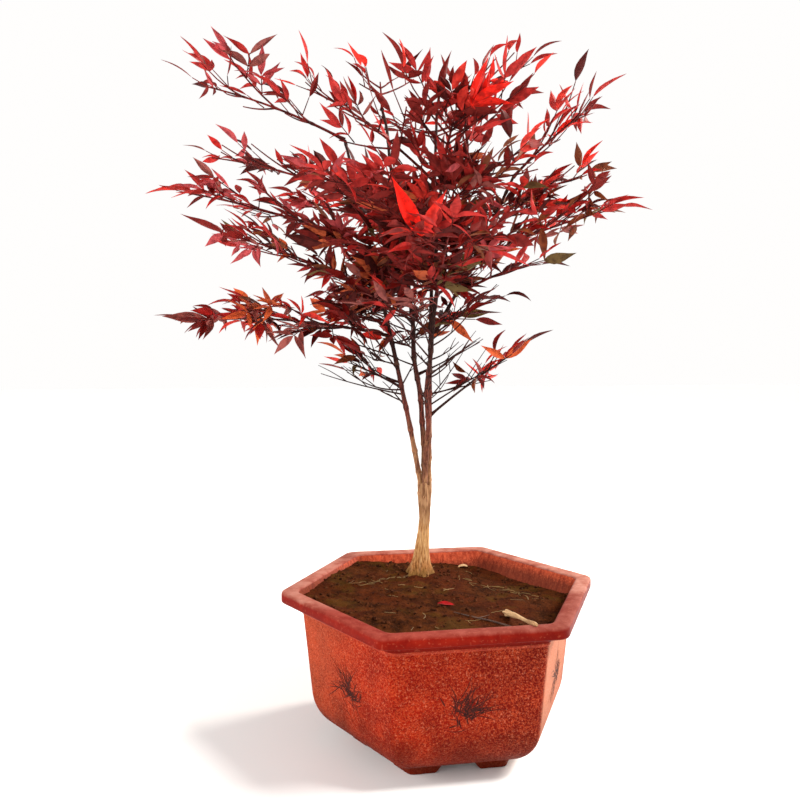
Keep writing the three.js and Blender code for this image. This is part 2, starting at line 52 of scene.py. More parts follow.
POT_AXIS = np.array([(pot_low.x + pot_high.x) / 2, (pot_low.y + pot_high.y) / 2, 0.0])
MILLIMETRE = 0.001
SIDE_COLUMNS = 44
CORNER_TURNS = range(-30, 31, 10)
CORNER_ROUNDING = 0.08
RIM_TOP = 172
RIM_RADIUS = 182
WALL_TOP = (158, 148)
WALL_FOOT = (148, 54)
FOOT_RADIUS = 103
FOOT_HEIGHT = 11
FOOT_INNER_RADIUS = 79
FOOT_PROFILE = [
    (FOOT_INNER_RADIUS, 3),
    (FOOT_INNER_RADIUS + 0.6, 1),
    (FOOT_INNER_RADIUS + 2, 0),
    (FOOT_RADIUS - 2.5, 0),
    (FOOT_RADIUS - 0.7, 0.8),
    (FOOT_RADIUS, 2.6),
    (FOOT_RADIUS + 1, 6),
    (FOOT_RADIUS + 2.6, 9.5),
]
ARCH_CROWN_HALF = 15
ARCH_FOOT_HALF = 25
ARCH_HEIGHT = 9


def heading(azimuth):
    turn = math.radians(azimuth)
    return np.array([math.cos(turn), math.sin(turn), 0.0])


def smooth(share):
    share = np.clip(share, 0, 1)
    return share * share * (3 - 2 * share)


def hexagon_outline():
    """The pot's plan at a radius of one: flat sides and rounded corners, anticlockwise."""
    middle = 1 - CORNER_ROUNDING / math.cos(math.pi / 6)
    outline = []
    for corner in range(0, 360, 60):
        for turn in CORNER_TURNS:
            outline.append(middle * heading(corner) + CORNER_ROUNDING * heading(corner + turn))
        start = outline[-1]
        stop = middle * heading(corner + 60) + CORNER_ROUNDING * heading(corner + 30)
        for column in range(1, SIDE_COLUMNS):
            outline.append(start + (stop - start) * column / SIDE_COLUMNS)
    return np.array(outline)


HEXAGON = hexagon_outline()
side_middle = 60 * np.floor(np.degrees(np.arctan2(HEXAGON[:, 1], HEXAGON[:, 0])) / 60) + 30
ALONG_SIDE = np.abs([point @ heading(turn + 90) for point, turn in zip(HEXAGON, side_middle)])


def pot_ring(radius, height):
    ring = HEXAGON * radius
    ring[:, 2] = height
    return ring


def wall_radius(height):
    """Radius of the outer wall's corners at a height."""
    return np.interp(height, (WALL_FOOT[1], WALL_TOP[1]), (WALL_FOOT[0], WALL_TOP[0]))


def foot_ring(radius, lift):
    """A ring of the feet, arched up between the corners."""
    share = (ALONG_SIDE * radius - ARCH_CROWN_HALF) / (ARCH_FOOT_HALF - ARCH_CROWN_HALF)
    sole = ARCH_HEIGHT * (1 - smooth(share))
    return pot_ring(radius, np.minimum(sole + lift, FOOT_HEIGHT))


def bezier(first, middle, last, steps):
    """Points of an arc from the first to the last that bends towards the middle one."""
    shares = np.linspace(0, 1, steps + 1)[:, None]
    first, middle, last = np.array(first), np.array(middle), np.array(last)
    return (1 - shares) ** 2 * first + 2 * shares * (1 - shares) * middle + shares**2 * last


def skin(rings):
    """Points and faces of a closed skin over rings of equal count."""
    rings = np.asarray(rings, float)
    count = rings.shape[1]
    near = np.arange(count)
    after = np.roll(near, -1)
    faces = []
    for base in range(0, (len(rings) - 1) * count, count):
        band = np.stack([near, after, after + count, near + count], 1) + base
        faces.extend(band.tolist())
    first_hub = len(rings) * count
    last_hub = first_hub + 1
    last = first_hub - count
    sides = list(zip(near.tolist(), after.tolist()))
    faces.extend([first_hub, b, a] for a, b in sides)
    faces.extend([last_hub, last + a, last + b] for a, b in sides)
    points = np.concatenate([rings.reshape(-1, 3), rings[:1].mean(1), rings[-1:].mean(1)])
    return points, faces


def joined(parts):
    """Several skins as one list of points and faces."""
    points, faces, count = [], [], 0
    for part_points, part_faces in parts:
        points.append(np.asarray(part_points, float))
        faces.extend([count + index for index in face] for face in part_faces)
        count += len(part_points)
    return np.concatenate(points), faces


def new_object(name, data):
    made = bpy.data.objects.new(name, data)
    bpy.context.scene.collection.objects.link(made)
    return made


def piece(name, points, faces, materials, slot, replaced=(), face_materials=None, sharp_angle=40):
    """A finished piece on the root body, its points given in millimetres from the pot's axis."""
    mesh = bpy.data.meshes.new(name)
    mesh.from_pydata((np.asarray(points) * MILLIMETRE + POT_AXIS).tolist(), [], faces)
    for material in materials:
        mesh.materials.append(material)
    if face_materials is not None:
        mesh.polygons.foreach_set("material_index", face_materials)
    mesh.shade_smooth()
    mesh.set_sharp_from_angle(angle=math.radians(sharp_angle))
    mesh.update()
    made = new_object(name, mesh)
    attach(made, "root")
    if replaced:
        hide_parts(*replaced)
    return made


class Signal:
    """A socket in a tree of nodes. Sums, differences and products of signals add Math nodes."""

    def __init__(self, tree, socket=None):
        self.tree = tree
        self.socket = socket

    def node(self, kind, settings, sockets, output="first"):
        """A new node with its settings, then its values and links, as the signal of one output."""
        made = self.tree.nodes.new(kind)
        for key, value in settings.items():
            setattr(made, key, value)
        for key, value in sockets.items():
            found = next(socket for socket in made.inputs if key in (socket.identifier, socket.name))
            if isinstance(value, Signal):
                self.tree.links.new(value.socket, found)
            else:
                found.default_value = value
        given = (socket for socket in made.outputs if output in (socket.identifier, socket.name, "first"))
        return Signal(self.tree, next(given))

    def maths(self, operation, first, second):
        sockets = {"Value": first, "Value_001": second}
        return self.node("ShaderNodeMath", {"operation": operation}, sockets)

    def __add__(self, other):
        return self.maths("ADD", self, other)

    __radd__ = __add__

    def __sub__(self, other):
        return self.maths("SUBTRACT", self, other)

    def __rsub__(self, other):
        return self.maths("SUBTRACT", other, self)

    def __mul__(self, other):
        return self.maths("MULTIPLY", self, other)

    def __abs__(self):
        return self.maths("ABSOLUTE", self, 0.0)

    def axis(self, name):
        """One of these coordinates, by the name of its axis."""
        return self.node("ShaderNodeSeparateXYZ", {}, {"Vector": self}, name)

    def span(self, low, high):
        """0 below low and 1 above high, with a smooth step between them."""
        sockets = {"Value": self, "From Min": low, "From Max": high}
        return self.node("ShaderNodeMapRange", {"interpolation_type": "SMOOTHSTEP"}, sockets)

    def mix(self, none, full):
        """From one colour at 0 to another at 1."""
        sockets = {"Factor_Float": self, "A_Color": none, "B_Color": full}
        return self.node("ShaderNodeMix", {"data_type": "RGBA"}, sockets, "Result_Color")

    def noise(self, scale, detail=2.0, roughness=0.5, distortion=0.0):
        """Noise over these coordinates, about 0.5."""
        sockets = {"Vector": self, "Scale": scale, "Detail": detail, "Roughness": roughness}
        return self.node("ShaderNodeTexNoise", {}, {**sockets, "Distortion": distortion})

    def stretched(self, x, y, z):
        """These coordinates, scaled along each axis."""
        sockets = {"Vector": self, "Scale": (x, y, z)}
        return self.node("ShaderNodeMapping", {"vector_type": "POINT"}, sockets)

    def relief(self, strength, distance):
        """Surface normals of this height."""
        sockets = {"Height": self, "Strength": strength, "Distance": distance}
        return self.node("ShaderNodeBump", {}, sockets)


def paint(red, green, blue):
    """A colour given as on screen, 0 to 255, in the renderer's own linear values."""
    shares = [value / 255 for value in (red, green, blue)]
    return (*[s / 12.92 if s <= 0.04045 else ((s + 0.055) / 1.055) ** 2.4 for s in shares], 1.0)


def new_finish(name):
    """A new material and its Object coordinates."""
    material = bpy.data.materials.new(name)
    material.use_nodes = True
    return material, Signal(material.node_tree).node("ShaderNodeTexCoord", {}, {}, "Object")


def dress(owner, **sockets):
    """A material or world with its shader's sockets set, named with underscores for spaces."""
    nodes = owner.node_tree.nodes
    shader = nodes.get("Principled BSDF") or nodes["Background"]
    for key, value in sockets.items():
        socket = shader.inputs[key.replace("_", " ")]
        if isinstance(value, Signal):
            value.tree.links.new(value.socket, socket)
        else:
            socket.default_value = value
    return owner


def pressed_grain():
    material, place = new_finish("pressed_grain")
    across = place.axis("X") - POT_AXIS[0]
    depth = place.axis("Y") - POT_AXIS[1]
    height = place.axis("Z")
    worms = 1 - abs(place.noise(300, 2.0, 0.6, 0.3) - 0.5).span(0.01, 0.07)
    flecks = place.noise(700, 1.0).span(0.54, 0.68)
    pale = place.noise(500, 2.0, 0.6).span(0.56, 0.7)
    patches = place.noise(34, 3.0)
    # Painted light: the side facing the lamps on the right is painted pale, as if brightly lit.
    painted_sunlit_side = (across * 0.866 + depth * 0.5).span(0.0, 0.005) * (1 - depth.span(-0.03, 0.02))
    red = patches.span(0.32, 0.7).mix(paint(120, 14, 2), paint(147, 27, 4))
    # Painted shade: the wall is painted darker towards the right, except on the sunlit side.
    red = (across.span(-0.07, 0.06) * (1 - painted_sunlit_side) * 0.58).mix(red, paint(70, 8, 2))
    # Painted light: the wall is painted paler towards the left.
    red = ((1 - across.span(-0.15, -0.09)) * 0.22).mix(red, paint(206, 116, 76))
    red = (worms * (0.2 + patches * 0.5)).mix(red, paint(198, 80, 42))
    red = (pale * 0.4).mix(red, paint(216, 128, 96))
    red = (flecks * 0.55).mix(red, paint(70, 9, 3))
    # Painted light on the sunlit side.
    red = (painted_sunlit_side * 0.36).mix(red, paint(214, 162, 126))
    # Painted highlight: the bead under the lip is painted paler, as if catching the light.
    painted_bead_highlight = height.span(0.146, 0.147) - height.span(0.1494, 0.1504)
    red = (painted_bead_highlight * 0.24).mix(red, paint(204, 92, 70))
    # Darker towards the bottom.
    darker_low = 1 - (height + (patches - 0.5) * 0.05).span(0.008, 0.085)
    red = (darker_low * 0.7).mix(red, paint(66, 18, 4))
    bump = (worms + flecks * 0.4).relief(0.5, 0.0004)
    rough = 0.66 - worms * 0.16
    return dress(material, Base_Color=red, Roughness=rough, Specular_IOR_Level=0.05, Normal=bump)


def smooth_rim():
    material, place = new_finish("smooth_rim")
    across = place.axis("X") - POT_AXIS[0]
    height = place.axis("Z")
    cloudy = place.noise(62, 5.0, 0.62)
    scuffs = place.noise(380, 2.0).span(0.58, 0.7)
    lip = cloudy.span(0.3, 0.7).mix(paint(108, 9, 1), paint(132, 23, 6))
    # Painted shade: the lip is painted darker towards the right.
    lip = (across.span(-0.03, 0.1) * 0.36).mix(lip, paint(70, 8, 2))
    # Painted shade: the lower part of the lip is painted darker.
    lip = ((1 - height.span(0.161, 0.168)) * 0.3).mix(lip, paint(84, 6, 1))
    front = place.axis("Y").span(-0.158, -0.11)
    # The rim's top is paler: dust, with a painted sheen on it, stronger towards the right as painted light.
    dust_and_sheen = (height + (cloudy - 0.5) * 0.003).span(0.168, 0.1724)
    dusty_sheen = cloudy.span(0.3, 0.66).mix(paint(154, 86, 70), paint(184, 130, 114))
    colour = (dust_and_sheen * (0.16 + across.span(-0.06, 0.02) * 0.14 + front * 0.58)).mix(lip, dusty_sheen)
    colour = (scuffs * 0.14).mix(colour, paint(206, 118, 88))
    bump = (cloudy + scuffs * 0.3).relief(0.2, 0.0004)
    rough = 0.45 + dust_and_sheen * 0.25
    return dress(material, Base_Color=colour, Roughness=rough, Specular_IOR_Level=0.05, Normal=bump)


def streaked_inside():
    material, place = new_finish("streaked_inside")
    streaks = place.stretched(1, 1, 0.12).noise(260, 3.0, 0.65)
    grains = place.noise(520, 2.0)
    colour = streaks.span(0.32, 0.68).mix(paint(138, 44, 21), paint(188, 78, 46))
    colour = (grains.span(0.52, 0.7) * 0.4).mix(colour, paint(212, 108, 72))
    sideways = place.axis("X")
    # Darker near the soil: soil splashed up the inside of the wall, with painted shade there, reaching
    # highest on the left and higher on the right where the inner wall lies in shadow.
    line = place.axis("Z") + sideways.span(-0.11, -0.02) * 0.02 - sideways.span(0.1, 0.15) * 0.006
    splash_and_shade = 1 - (line + (grains - 0.5) * 0.012).span(0.172, 0.184)
    colour = (splash_and_shade * 0.66).mix(colour, paint(70, 27, 12))
    bump = grains.relief(0.4, 0.0004)
    return dress(material, Base_Color=colour, Roughness=0.7, Specular_IOR_Level=0.15, Normal=bump)


underside = [pot_ring(FOOT_INNER_RADIUS - inset, FOOT_HEIGHT) for inset in (5, 2)]
feet = [foot_ring(radius, lift) for radius, lift in FOOT_PROFILE]
shoulder = bezier((FOOT_RADIUS + 5, FOOT_HEIGHT + 0.8), (143, 23), WALL_FOOT, 16).tolist()
wall = [(wall_radius(height), height) for height in np.linspace(WALL_FOOT[1] + 3, WALL_TOP[1] - 3, 24)]
bead = [(158.0, 146.4), (158.9, 147.2), (159.2, 148.4), (158.8, 149.6)]
cove = bezier((158.6, 150.2), (160, 159.4), (179.6, 160), 8).tolist()
lip = [(181, 160.3), (181.8, 161.2)]
lip += [(RIM_RADIUS, height) for height in (162.6, 166, 169)]
lip += [(181.6, 170.6), (180.8, 171.6)]
rim = [(179.4, RIM_TOP), (174, RIM_TOP), (168, 171.8), (165, 171.6), (163.4, 171), (162.4, 169.8)]
inside = [(161, 166.5), (159, 162), (157, 157), (155, 152), (153, 148), (149, 106), (143, 54)]
inside += bezier((143, 54), (140, 22), (97, 20), 6).tolist()[1:]
grain_profile = shoulder + wall + bead
rim_profile = cove + lip + rim
profile = [pot_ring(radius, height) for radius, height in grain_profile + rim_profile + inside]
pot_points, pot_faces = skin(underside + feet + profile)
GRAIN, RIM, INSIDE = range(3)
bands = [GRAIN] * (len(underside) + len(feet) + len(grain_profile) - 1)
bands += [RIM] * len(rim_profile) + [INSIDE] * len(inside) + [GRAIN, INSIDE]
pot_finish = [band for band in bands for _ in HEXAGON]
pot_materials = [pressed_grain(), smooth_rim(), streaked_inside()]
piece("pot_moulding", pot_points, pot_faces, pot_materials, "pot", ["pot"], pot_finish)

# Sprigs on the pot: a tuft of grass blades brushed in dark ink on each side, below its middle.
# Each blade is one stroke that swells and tapers off, and the dry brush leaves the grain showing.
# Short thick strokes crowd into a dark clump at the root, and long thin ones fan out to one side.
SPRIG_HEIGHT = 82
STROKE_STEPS = 9
STROKE_BEND = 55
STROKE_EDGE = -0.15
STROKE_RIDGE = 0.16
TUFT = {
    "clump": (34, 1.25, {"along": (7, 6), "above": (0, 7), "turn": (30, 60), "length": (7, 17)}),
    "fan": (30, 0.8, {"along": (4, 6), "above": (2, 5), "turn": (50, 36), "length": (16, 40)}),
    "strays": (9, 0.7, {"along": (7, 6), "above": (-4, 6), "turn": (70, 50), "length": (8, 24)}),
}
SPRIG_SEED = 40


def on_wall(side, along, height, lift):
    """A point on one side's outer face, measured from the middle of that side."""
    distance = wall_radius(height) * math.cos(math.pi / 6) + lift
    return heading(side) * distance + heading(side + 90) * along + np.array([0, 0, height])


def brushed_blade(side, draw, root, turn, length, broadest):
    """One stroke on the wall, as a low ridge of three-cornered rings."""
    bend = draw.uniform(-STROKE_BEND, STROKE_BEND)
    rings = []
    along, height = root
    for step in range(STROKE_STEPS + 1):
        share = step / STROKE_STEPS
        facing = math.radians(turn + bend * share)
        half = broadest * (0.12 + 1.25 * math.sin(math.pi * share ** 0.7) ** 0.8 * (1 - 0.35 * share))
        across, rise = -math.sin(facing) * half, math.cos(facing) * half
        rings.append([
            on_wall(side, along + across, height + rise, STROKE_EDGE),
            on_wall(side, along - across, height - rise, STROKE_EDGE),
            on_wall(side, along, height, STROKE_RIDGE),
        ])
        along += math.cos(facing) * length / STROKE_STEPS
        height += math.sin(facing) * length / STROKE_STEPS
    return skin(rings)


def brushed_sprig(side, lean):
    """The strokes on one side, leaning right for 1 and left for -1."""
    draw = np.random.default_rng(SPRIG_SEED + side)
    made = []
    for kind, (count, broadest, stroke) in TUFT.items():
        leaning = -lean if kind == "strays" else lean
        for _ in range(count):
            root = (-lean * draw.normal(*stroke["along"]), SPRIG_HEIGHT + draw.normal(*stroke["above"]))
            turn = 90 - leaning * draw.normal(*stroke["turn"])
            length = draw.uniform(*stroke["length"])
            made.append(brushed_blade(side, draw, root, turn, length, broadest))
    return made


def dry_ink():
    material, place = new_finish("dry_ink")
    broken = place.noise(700, 2.0, 0.6).span(0.47, 0.6)
    wash = place.noise(90, 2.0).span(0.35, 0.65)
    ink = wash.mix(paint(24, 9, 7), paint(48, 17, 12))
    ink = (broken * 0.5).mix(ink, paint(110, 36, 22))
    return dress(material, Base_Color=ink, Roughness=0.6 + broken * 0.2, Specular_IOR_Level=0.1)


strokes = []
for side in range(30, 360, 60):
    strokes += brushed_sprig(side, -1 if (side // 60) % 2 else 1)
piece("pot_sprigs", *joined(strokes), [dry_ink()], "pot")

# Soil: damp dark loam that fills the pot to below its rim, heaped round the trunk and to the left.
# It has settled into clods and hollows, and lies against the inside of the wall.
TRUNK_FOOT = np.array([-9.0, 82.0, 0.0])
SOIL_AT_WALL = 150
SOIL_AT_TRUNK = 161
SOIL_LEAN = 20
SOIL_LEAN_AZIMUTH = 148
SOIL_COLLAR = 21
SOIL_MIDDLE = 5
SOIL_RINGS = 52
INSIDE_HEIGHTS = (54, 148, 170)
INSIDE_RADII = (143, 153, 162)
SOIL_IN_WALL = 1.2
SOIL_BELOW = [(110, 40), (145, 70), (152.4, SOIL_AT_WALL - 12)]


def clods(point):
    """Height of the soil's own unevenness at a point."""
    broad = noise.noise(Vector(point / 38))
    lumps = noise.noise(Vector(point / 13) + Vector((7, 3, 1)))
    crumbs = noise.noise(Vector(point / 4.5) + Vector((1, 9, 5)))
    rough = 1 + 0.9 * smooth((10 - point[0]) / 70)
    return 1.1 * broad + rough * (1.5 * lumps * (0.6 + broad) + 0.8 * crumbs)


def soil_height(point, share):
    lean = max(0.0, heading(SOIL_LEAN_AZIMUTH) @ point / RIM_RADIUS)
    ripple = 1.2 * math.sin(point[0] / 60) * math.cos(point[1] / 20)
    at_wall = SOIL_AT_WALL + SOIL_LEAN * lean + ripple
    return SOIL_AT_TRUNK + (at_wall - SOIL_AT_TRUNK) * math.sqrt(share)


def soil_rings():
    wall_ring = []
    for corner in HEXAGON:
        level = soil_height(corner * WALL_TOP[0], 1)
        wall_ring.append(corner * (np.interp(level, INSIDE_HEIGHTS, INSIDE_RADII) + SOIL_IN_WALL))
    wall_ring = np.array(wall_ring)
    rings = [pot_ring(radius, height) for radius, height in SOIL_BELOW]
    for step in range(SOIL_RINGS, -1, -1):
        share = step / SOIL_RINGS
        ring = []
        for wall_point in wall_ring:
            away = wall_point - TRUNK_FOOT
            distance = np.linalg.norm(away)
            reach = SOIL_MIDDLE + (distance - SOIL_MIDDLE) * share
            point = TRUNK_FOOT + away / distance * reach
            past_collar = max(0.0, (reach - SOIL_COLLAR) / (distance - SOIL_COLLAR))
            point[2] = soil_height(point, past_collar) + clods(point)
            ring.append(point)
        rings.append(np.array(ring))
    return rings


def damp_loam():
    material, place = new_finish("damp_loam")
    crumbs = place.noise(380, 3.0, 0.65)
    lumps = place.noise(70, 3.0)
    moist = place.noise(15, 2.0).span(0.4, 0.62)
    colour = lumps.span(0.3, 0.7).mix(paint(40, 16, 3), paint(76, 37, 13))
    colour = (moist * 0.45).mix(colour, paint(76, 28, 11))
    colour = (crumbs.span(0.56, 0.72) * 0.5).mix(colour, paint(102, 56, 28))
    colour = (1 - crumbs.span(0.3, 0.45)).mix(colour, paint(22, 8, 3))
    mossy = place.noise(22, 3.0, 0.6).span(0.53, 0.66)
    colour = (mossy * 0.4).mix(colour, paint(76, 54, 16))
    bump = (crumbs + lumps).relief(0.9, 0.0022)
    return dress(material, Base_Color=colour, Roughness=0.93, Specular_IOR_Level=0.03, Normal=bump)


soil_points, soil_faces = skin(soil_rings())
soil = piece("soil_bed", soil_points, soil_faces, [damp_loam()], "soil", ["soil"], sharp_angle=80)
soil_cover = BVHTree.FromPolygons([Vector(point) for point in soil_points], soil_faces)


def soil_top(along_x, along_y):
    """Height of the soil under a point, in millimetres."""
    return soil_cover.ray_cast(Vector((along_x, along_y, 400)), Vector((0, 0, -1)))[0].z


# Crumbs: loose bits of soil that lie scattered over the bed, lumpy and about as dark as it is.
# They are strewn over the soil's upper surface, each turned and sized on its own.
CRUMB_VALUES = {
    "Crumbs per square metre": 15000.0,
    "Smallest": 0.0005,
    "Largest": 0.0026,
    "Least slope": 0.6,
}
CRUMB_DENTS = 1.9
FULL_TURN = (6.28, 6.28, 6.28)


def crumb_tree(material):
    """Geometry nodes that strew dented lumps over the bed where it is flat enough, most of them small."""
    tree = bpy.data.node_groups.new("strewn_crumbs", "GeometryNodeTree")
    face = tree.interface
    face.new_socket("Bed", in_out="INPUT", socket_type="NodeSocketGeometry")
    for label in CRUMB_VALUES:
        face.new_socket(label, in_out="INPUT", socket_type="NodeSocketFloat")
    face.new_socket("Crumbs", in_out="OUTPUT", socket_type="NodeSocketGeometry")
    given = {socket.name: Signal(tree, socket) for socket in tree.nodes.new("NodeGroupInput").outputs}
    new = Signal(tree).node
    ball = new("GeometryNodeMeshIcoSphere", {}, {"Radius": 1.0, "Subdivisions": 2}, "Mesh")
    dents = new("ShaderNodeTexNoise", {}, {"Scale": 1.6, "Detail": 1.0}, "Color")
    centred = {"Vector": dents, "Vector_001": (0.5, 0.5, 0.5)}
    inward = new("ShaderNodeVectorMath", {"operation": "SUBTRACT"}, centred)
    dented = new("ShaderNodeVectorMath", {"operation": "SCALE"}, {"Vector": inward, "Scale": CRUMB_DENTS})
    lump = new("GeometryNodeSetPosition", {}, {"Geometry": ball, "Offset": dented})
    slope = new("GeometryNodeInputNormal", {}, {}).axis("Z")
    greater = {"data_type": "FLOAT", "operation": "GREATER_THAN"}
    upper = new("FunctionNodeCompare", greater, {"A": slope, "B": given["Least slope"]})
    strewing = {"Mesh": given["Bed"], "Selection": upper, "Density": given["Crumbs per square metre"]}
    spots = new("GeometryNodeDistributePointsOnFaces", {}, {**strewing, "Seed": 5}, "Points")
    drawn = {"Min_001": 0.0, "Max_001": 1.0, "Seed": 8}
    size = new("FunctionNodeRandomValue", {"data_type": "FLOAT"}, drawn, "Value_001")
    mostly_small = size.maths("POWER", size, 4.0)
    sizes = {"Value": mostly_small, "To Min": given["Smallest"], "To Max": given["Largest"]}
    sized = new("ShaderNodeMapRange", {}, sizes)
    turn = new("FunctionNodeRandomValue", {"data_type": "FLOAT_VECTOR"}, {"Max": FULL_TURN, "Seed": 3})
    laid = {"Points": spots, "Instance": lump, "Rotation": turn, "Scale": sized}
    strewn = new("GeometryNodeInstanceOnPoints", {}, laid)
    real = new("GeometryNodeRealizeInstances", {}, {"Geometry": strewn})
    finished = new("GeometryNodeSetMaterial", {}, {"Geometry": real, "Material": material})
    tree.links.new(finished.socket, tree.nodes.new("NodeGroupOutput").inputs["Crumbs"])
    return tree


def crumb_finish():
    material, place = new_finish("crumb_loam")
    lumps = place.noise(240, 2.0)
    colour = lumps.span(0.35, 0.65).mix(paint(38, 17, 8), paint(84, 46, 26))
    bump = place.noise(900, 2.0).relief(0.6, 0.0006)
    return dress(material, Base_Color=colour, Roughness=0.95, Specular_IOR_Level=0.03, Normal=bump)


def strewn_crumbs():
    bed = new_object("crumb_bed", soil.data.copy())
    strew = bed.modifiers.new("strew", "NODES")
    strew.node_group = crumb_tree(crumb_finish())
    for socket in strew.node_group.interface.items_tree:
        if socket.name in CRUMB_VALUES:
            strew[socket.identifier] = CRUMB_VALUES[socket.name]
    view = bpy.context.evaluated_depsgraph_get()
    mesh = bpy.data.meshes.new_from_object(bed.evaluated_get(view))
    bpy.data.objects.remove(bed)
    made = new_object("soil_crumbs", mesh)
    mesh.shade_smooth()
    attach(made, "root")
    return made


strewn_crumbs()

# Litter on the soil: bits of straw, a thin dark twig, a pale chip and a dead stick.
# The stick is a peeled length of cane with a split end on the soil, and its other end rests on the rim.
STRAW_SEED = 71
STREWN_STRAWS = 22
STREWN_LENGTHS = (6, 20)
ROW_LENGTHS = (8, 22)
STRAW_ROWS = [((-93, 47), (-26, 75), 15), ((42, 66), (112, -12), 18)]
STRAW_CLEAR_OF_WALL = 118
STRAW_CLEAR_OF_TRUNK = 26
THIN_TWIG = [(5, -45), (16, -54), (27, -64), (38, -73), (49, -86), (57, -99), (63, -112)]
TWIG_SHOOT = [(27, -64), (33, -62), (41, -60)]
STICK_STEPS = 34
STICK_START = (59, -58)
STICK_END = (63, -150)
STICK_SHARES = (0, 0.02, 0.14, 0.3, 0.45, 0.7, 0.84, 0.93, 1)
STICK_RADII = (2.6, 3.6, 3.7, 2.7, 1.8, 1.7, 2.2, 2.4, 1.3)
CHIP_PLACE = (56, 121)
CHIP_STEPS = 8


def tube(path, radii, sides, ridges=None):
    """A closed tube along a path of points, with an even twist-free frame."""
    path = np.asarray(path, float)
    tangents = np.gradient(path, axis=0)
    tangents /= np.linalg.norm(tangents, axis=1, keepdims=True)
    normal = np.cross(tangents[0], [0.31, 0.17, 0.93])
    if np.linalg.norm(normal) < 0.2:
        normal = np.cross(tangents[0], [1.0, 0.0, 0.1])
    rings = []
    turns = np.linspace(0, 2 * math.pi, sides, endpoint=False)
    for index, (point, tangent, radius) in enumerate(zip(path, tangents, radii)):
        normal = normal - tangent * (normal @ tangent)
        normal = normal / np.linalg.norm(normal)
        binormal = np.cross(tangent, normal)
        reach = radius * (1 if ridges is None else 1 + ridges(index, turns))
        ring = point + np.outer(reach * np.cos(turns), normal) + np.outer(reach * np.sin(turns), binormal)
        rings.append(ring)
    return skin(rings)


def round_noise(turn, scale, level):
    """Noise on a stem, by the turn about its axis and the level along it."""
    return noise.noise(Vector((math.cos(turn) * scale, math.sin(turn) * scale, level)))


def lying(points, lift):
    """Points of a path laid on the soil."""
    return [[x, y, soil_top(x, y) + lift] for x, y in points]


def straw_finish(name, dark, pale):
    material, place = new_finish(name)
    fibres = place.noise(800, 3.0, 0.7)
    shade = place.noise(45, 2.0)
    colour = (fibres * 0.5 + shade * 0.5).span(0.35, 0.65).mix(paint(*dark), paint(*pale))
    return dress(material, Base_Color=colour, Roughness=0.82, Normal=fibres.relief(0.5, 0.0005))


def straw_part(draw, middle, turn, length):
    """One bowed bit of straw on the soil."""
    along = heading(turn)[:2]
    bow = heading(turn + 90)[:2] * draw.uniform(-0.16, 0.16) * length
    shares = np.linspace(-0.5, 0.5, 7)
    points = [middle + along * share * length + bow * (1 - 4 * share * share) for share in shares]
    thick = draw.uniform(0.25, 0.55)
    return tube(lying(points, thick * 0.6), [thick * 0.6] + [thick] * 5 + [thick * 0.4], 5)


straws = []
draw = np.random.default_rng(STRAW_SEED)
while len(straws) < STREWN_STRAWS:
    middle = np.array([draw.uniform(-120, 140), draw.uniform(-120, 125)])
    side_reach = max(abs(middle @ heading(30 + 60 * side)[:2]) for side in range(3))
    trunk_reach = np.linalg.norm(middle - TRUNK_FOOT[:2])
    if side_reach < STRAW_CLEAR_OF_WALL and trunk_reach > STRAW_CLEAR_OF_TRUNK:
        straws.append(straw_part(draw, middle, draw.uniform(0, 180), draw.uniform(*STREWN_LENGTHS)))
for first, last, count in STRAW_ROWS:
    first, last = np.array(first), np.array(last)
    turn = math.degrees(math.atan2(*(last - first)[::-1]))
    for number in range(count):
        middle = first + (last - first) * (number + draw.uniform()) / count + draw.normal(0, 5, 2)
        straws.append(straw_part(draw, middle, turn + draw.normal(0, 28), draw.uniform(*ROW_LENGTHS)))
piece("soil_straw", *joined(straws), [straw_finish("dry_straw", (84, 58, 26), (138, 106, 58))], "soil")

twig_part = tube(lying(THIN_TWIG, 1.0), [0.5, 0.8, 0.9, 1.0, 1.1, 1.1, 0.7], 6)
side_shoot = tube(lying(TWIG_SHOOT, 1.2), [0.7, 0.5, 0.3], 5)
dark_wood = straw_finish("dark_twig", (52, 30, 22), (104, 74, 58))
piece("soil_twig", *joined([twig_part, side_shoot]), [dark_wood], "soil")


def stick_part():
    """The peeled stick, broad and split on the soil, waisted, and knobbed where it rests on the rim."""
    start = np.array([*STICK_START, soil_top(*STICK_START) + 3.2])
    end = np.array([*STICK_END, RIM_TOP + 1.9])
    path, radii = [], []
    for step in range(STICK_STEPS + 1):
        share = step / STICK_STEPS
        point = start + (end - start) * share
        point[0] += 1.6 * math.sin(math.pi * share * 1.7)
        path.append(point)
        radii.append(np.interp(share, STICK_SHARES, STICK_RADII))

    def splinters(index, turns):
        share = index / STICK_STEPS
        flat = 0.3 * (1 - smooth(share / 0.45)) * np.cos(2 * turns + 0.6)
        split = 0.35 * (1 - smooth(share / 0.2)) * np.cos(5 * turns)
        return flat + split + 0.18 * np.array([round_noise(turn, 2.2, share * 3) for turn in turns])

    return tube(path, radii, 20, splinters)


def chip_part():
    """A pale curled flake of bark by the back wall."""
    base = np.array([*CHIP_PLACE, soil_top(*CHIP_PLACE)])
    rings = []
    for step in range(CHIP_STEPS + 1):
        share = step / CHIP_STEPS
        half = 3.1 * math.sin(math.pi * (0.1 + 0.84 * share)) ** 0.7
        curl = [-6 + 12 * share, 1.5 * math.sin(3 * share), 2.2 + 1.5 * math.sin(math.pi * share)]
        corners = [[0, -half, -1.0], [0, 0, -0.2], [0, half, -1.0], [0, 0, 0.9]]
        rings.append(base + curl + np.array(corners))
    return skin(rings)


pale_wood = straw_finish("peeled_wood", (150, 108, 68), (214, 176, 128))
piece("soil_stick", *joined([stick_part(), chip_part()]), [pale_wood], "soil")

